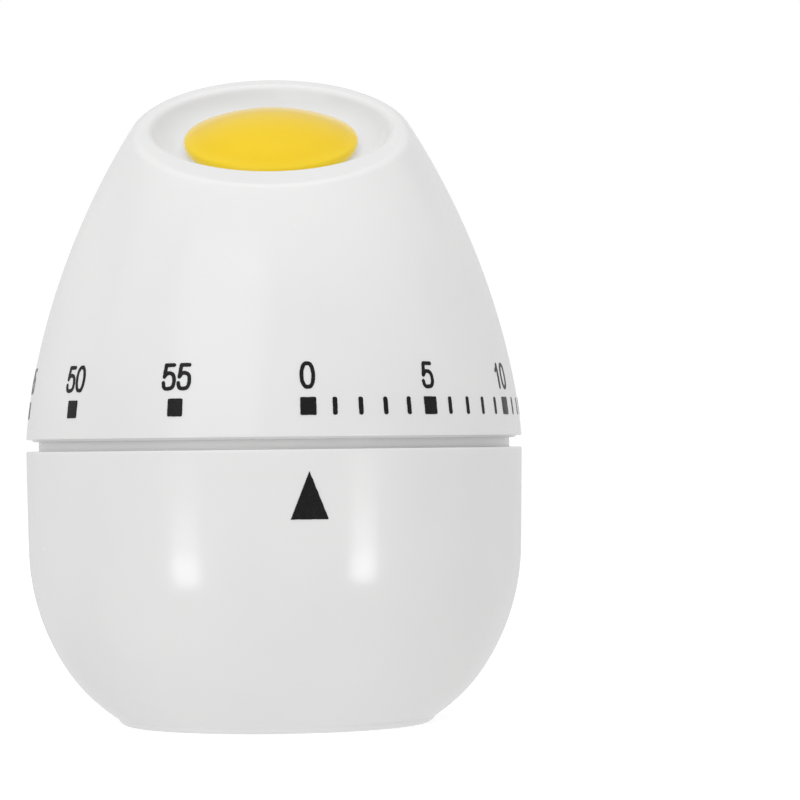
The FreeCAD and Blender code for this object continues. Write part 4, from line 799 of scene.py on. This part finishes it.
def make_floor():
    """Wide matt pale floor."""
    steps, half = 24, 3000.0
    points = [Vector((-half + 2 * half * i / steps, -half + 2 * half * j / steps, 0))
              for j in range(steps + 1) for i in range(steps + 1)]
    faces = [(a, a + 1, a + steps + 2, a + steps + 1)
             for j in range(steps) for a in range(j * (steps + 1), j * (steps + 1) + steps)]
    floor = solid("floor", points, faces)
    nodes = Nodes("floor_look")
    grain = nodes.noise(30.0, 4.0, 0.5)
    nodes.set(Base_Color=nodes.ramp(grain, [(0.3, 0.90), (0.7, 0.92)]), Roughness=0.9)
    nodes.set(Specular_IOR_Level=0.1, Emission_Color=(1, 1, 1, 1), Emission_Strength=0.40)
    floor.data.materials.append(nodes.material)
    floor.visible_glossy = False
    floor.visible_diffuse = False
    floor.visible_shadow = False


def make_world():
    """White surroundings: brighter overhead and below, with two bands behind the timer."""
    world = bpy.data.worlds.new("studio")
    SCENE.world = world
    world.use_nodes = True
    tree = world.node_tree
    tree.nodes.clear()
    add = functools.partial(add_node, tree)
    way = add("SeparateXYZ", {0: tree.nodes.new("ShaderNodeTexCoord").outputs["Generated"]})
    ramp = add("ValToRGB", {0: add("MapRange", {0: way.outputs["Z"], 1: -1.0}).outputs[0]})
    marks = ramp.color_ramp.elements
    marks.new(0.5)
    for mark, (position, grey) in zip(marks, WORLD_GREYS):
        mark.position = position
        mark.color = (grey, grey, grey, 1.0)
    behind = add("MapRange", {0: way.outputs["Y"], 1: 0.12, 2: 0.42}, interpolation_type="SMOOTHSTEP")
    shade = ramp
    for middle, core, edge, share in BANDS:
        rise = add("Math", {0: way.outputs["Z"], 1: middle}, operation="SUBTRACT")
        rise = add("Math", {0: rise.outputs[0]}, operation="ABSOLUTE")
        near = add("MapRange", {0: rise.outputs[0], 1: edge, 2: core}, interpolation_type="SMOOTHSTEP")
        band = add("Math", {0: behind.outputs[0], 1: near.outputs[0]}, operation="MULTIPLY")
        keep = add("MapRange", {0: band.outputs[0], 3: 1.0, 4: share})
        shade = add("VectorMath", {0: shade.outputs[0], 1: keep.outputs[0]}, operation="MULTIPLY")
    camera_ray = tree.nodes.new("ShaderNodeLightPath").outputs["Is Camera Ray"]
    mix = add("Mix", {0: camera_ray, 6: shade.outputs[0], 7: (1.0, 1.0, 1.0, 1.0)}, data_type="RGBA")
    add("OutputWorld", {0: add("Background", {0: mix.outputs[2]}).outputs[0]})


make_camera()
make_floor()
make_world()
make_softbox("key_left", -28, 25, 800, (600, 600), 0.95)
# The overhead light stays out of the reflections, so that it draws no bright line along the lip.
overhead = make_softbox("top", 0, 86, 650, (700, 450), 1.45)
overhead.visible_glossy = False
# Two small low lights in front make the highlights on the base.
make_softbox("spot_left", -42.5, -10.6, 420, (95, 110), 0.155, (-10, -27, 18))
make_softbox("spot_right", 40.5, -9.6, 420, (85, 105), 0.15, (10, -27, 18))
SCENE.view_settings.view_transform = "Standard"
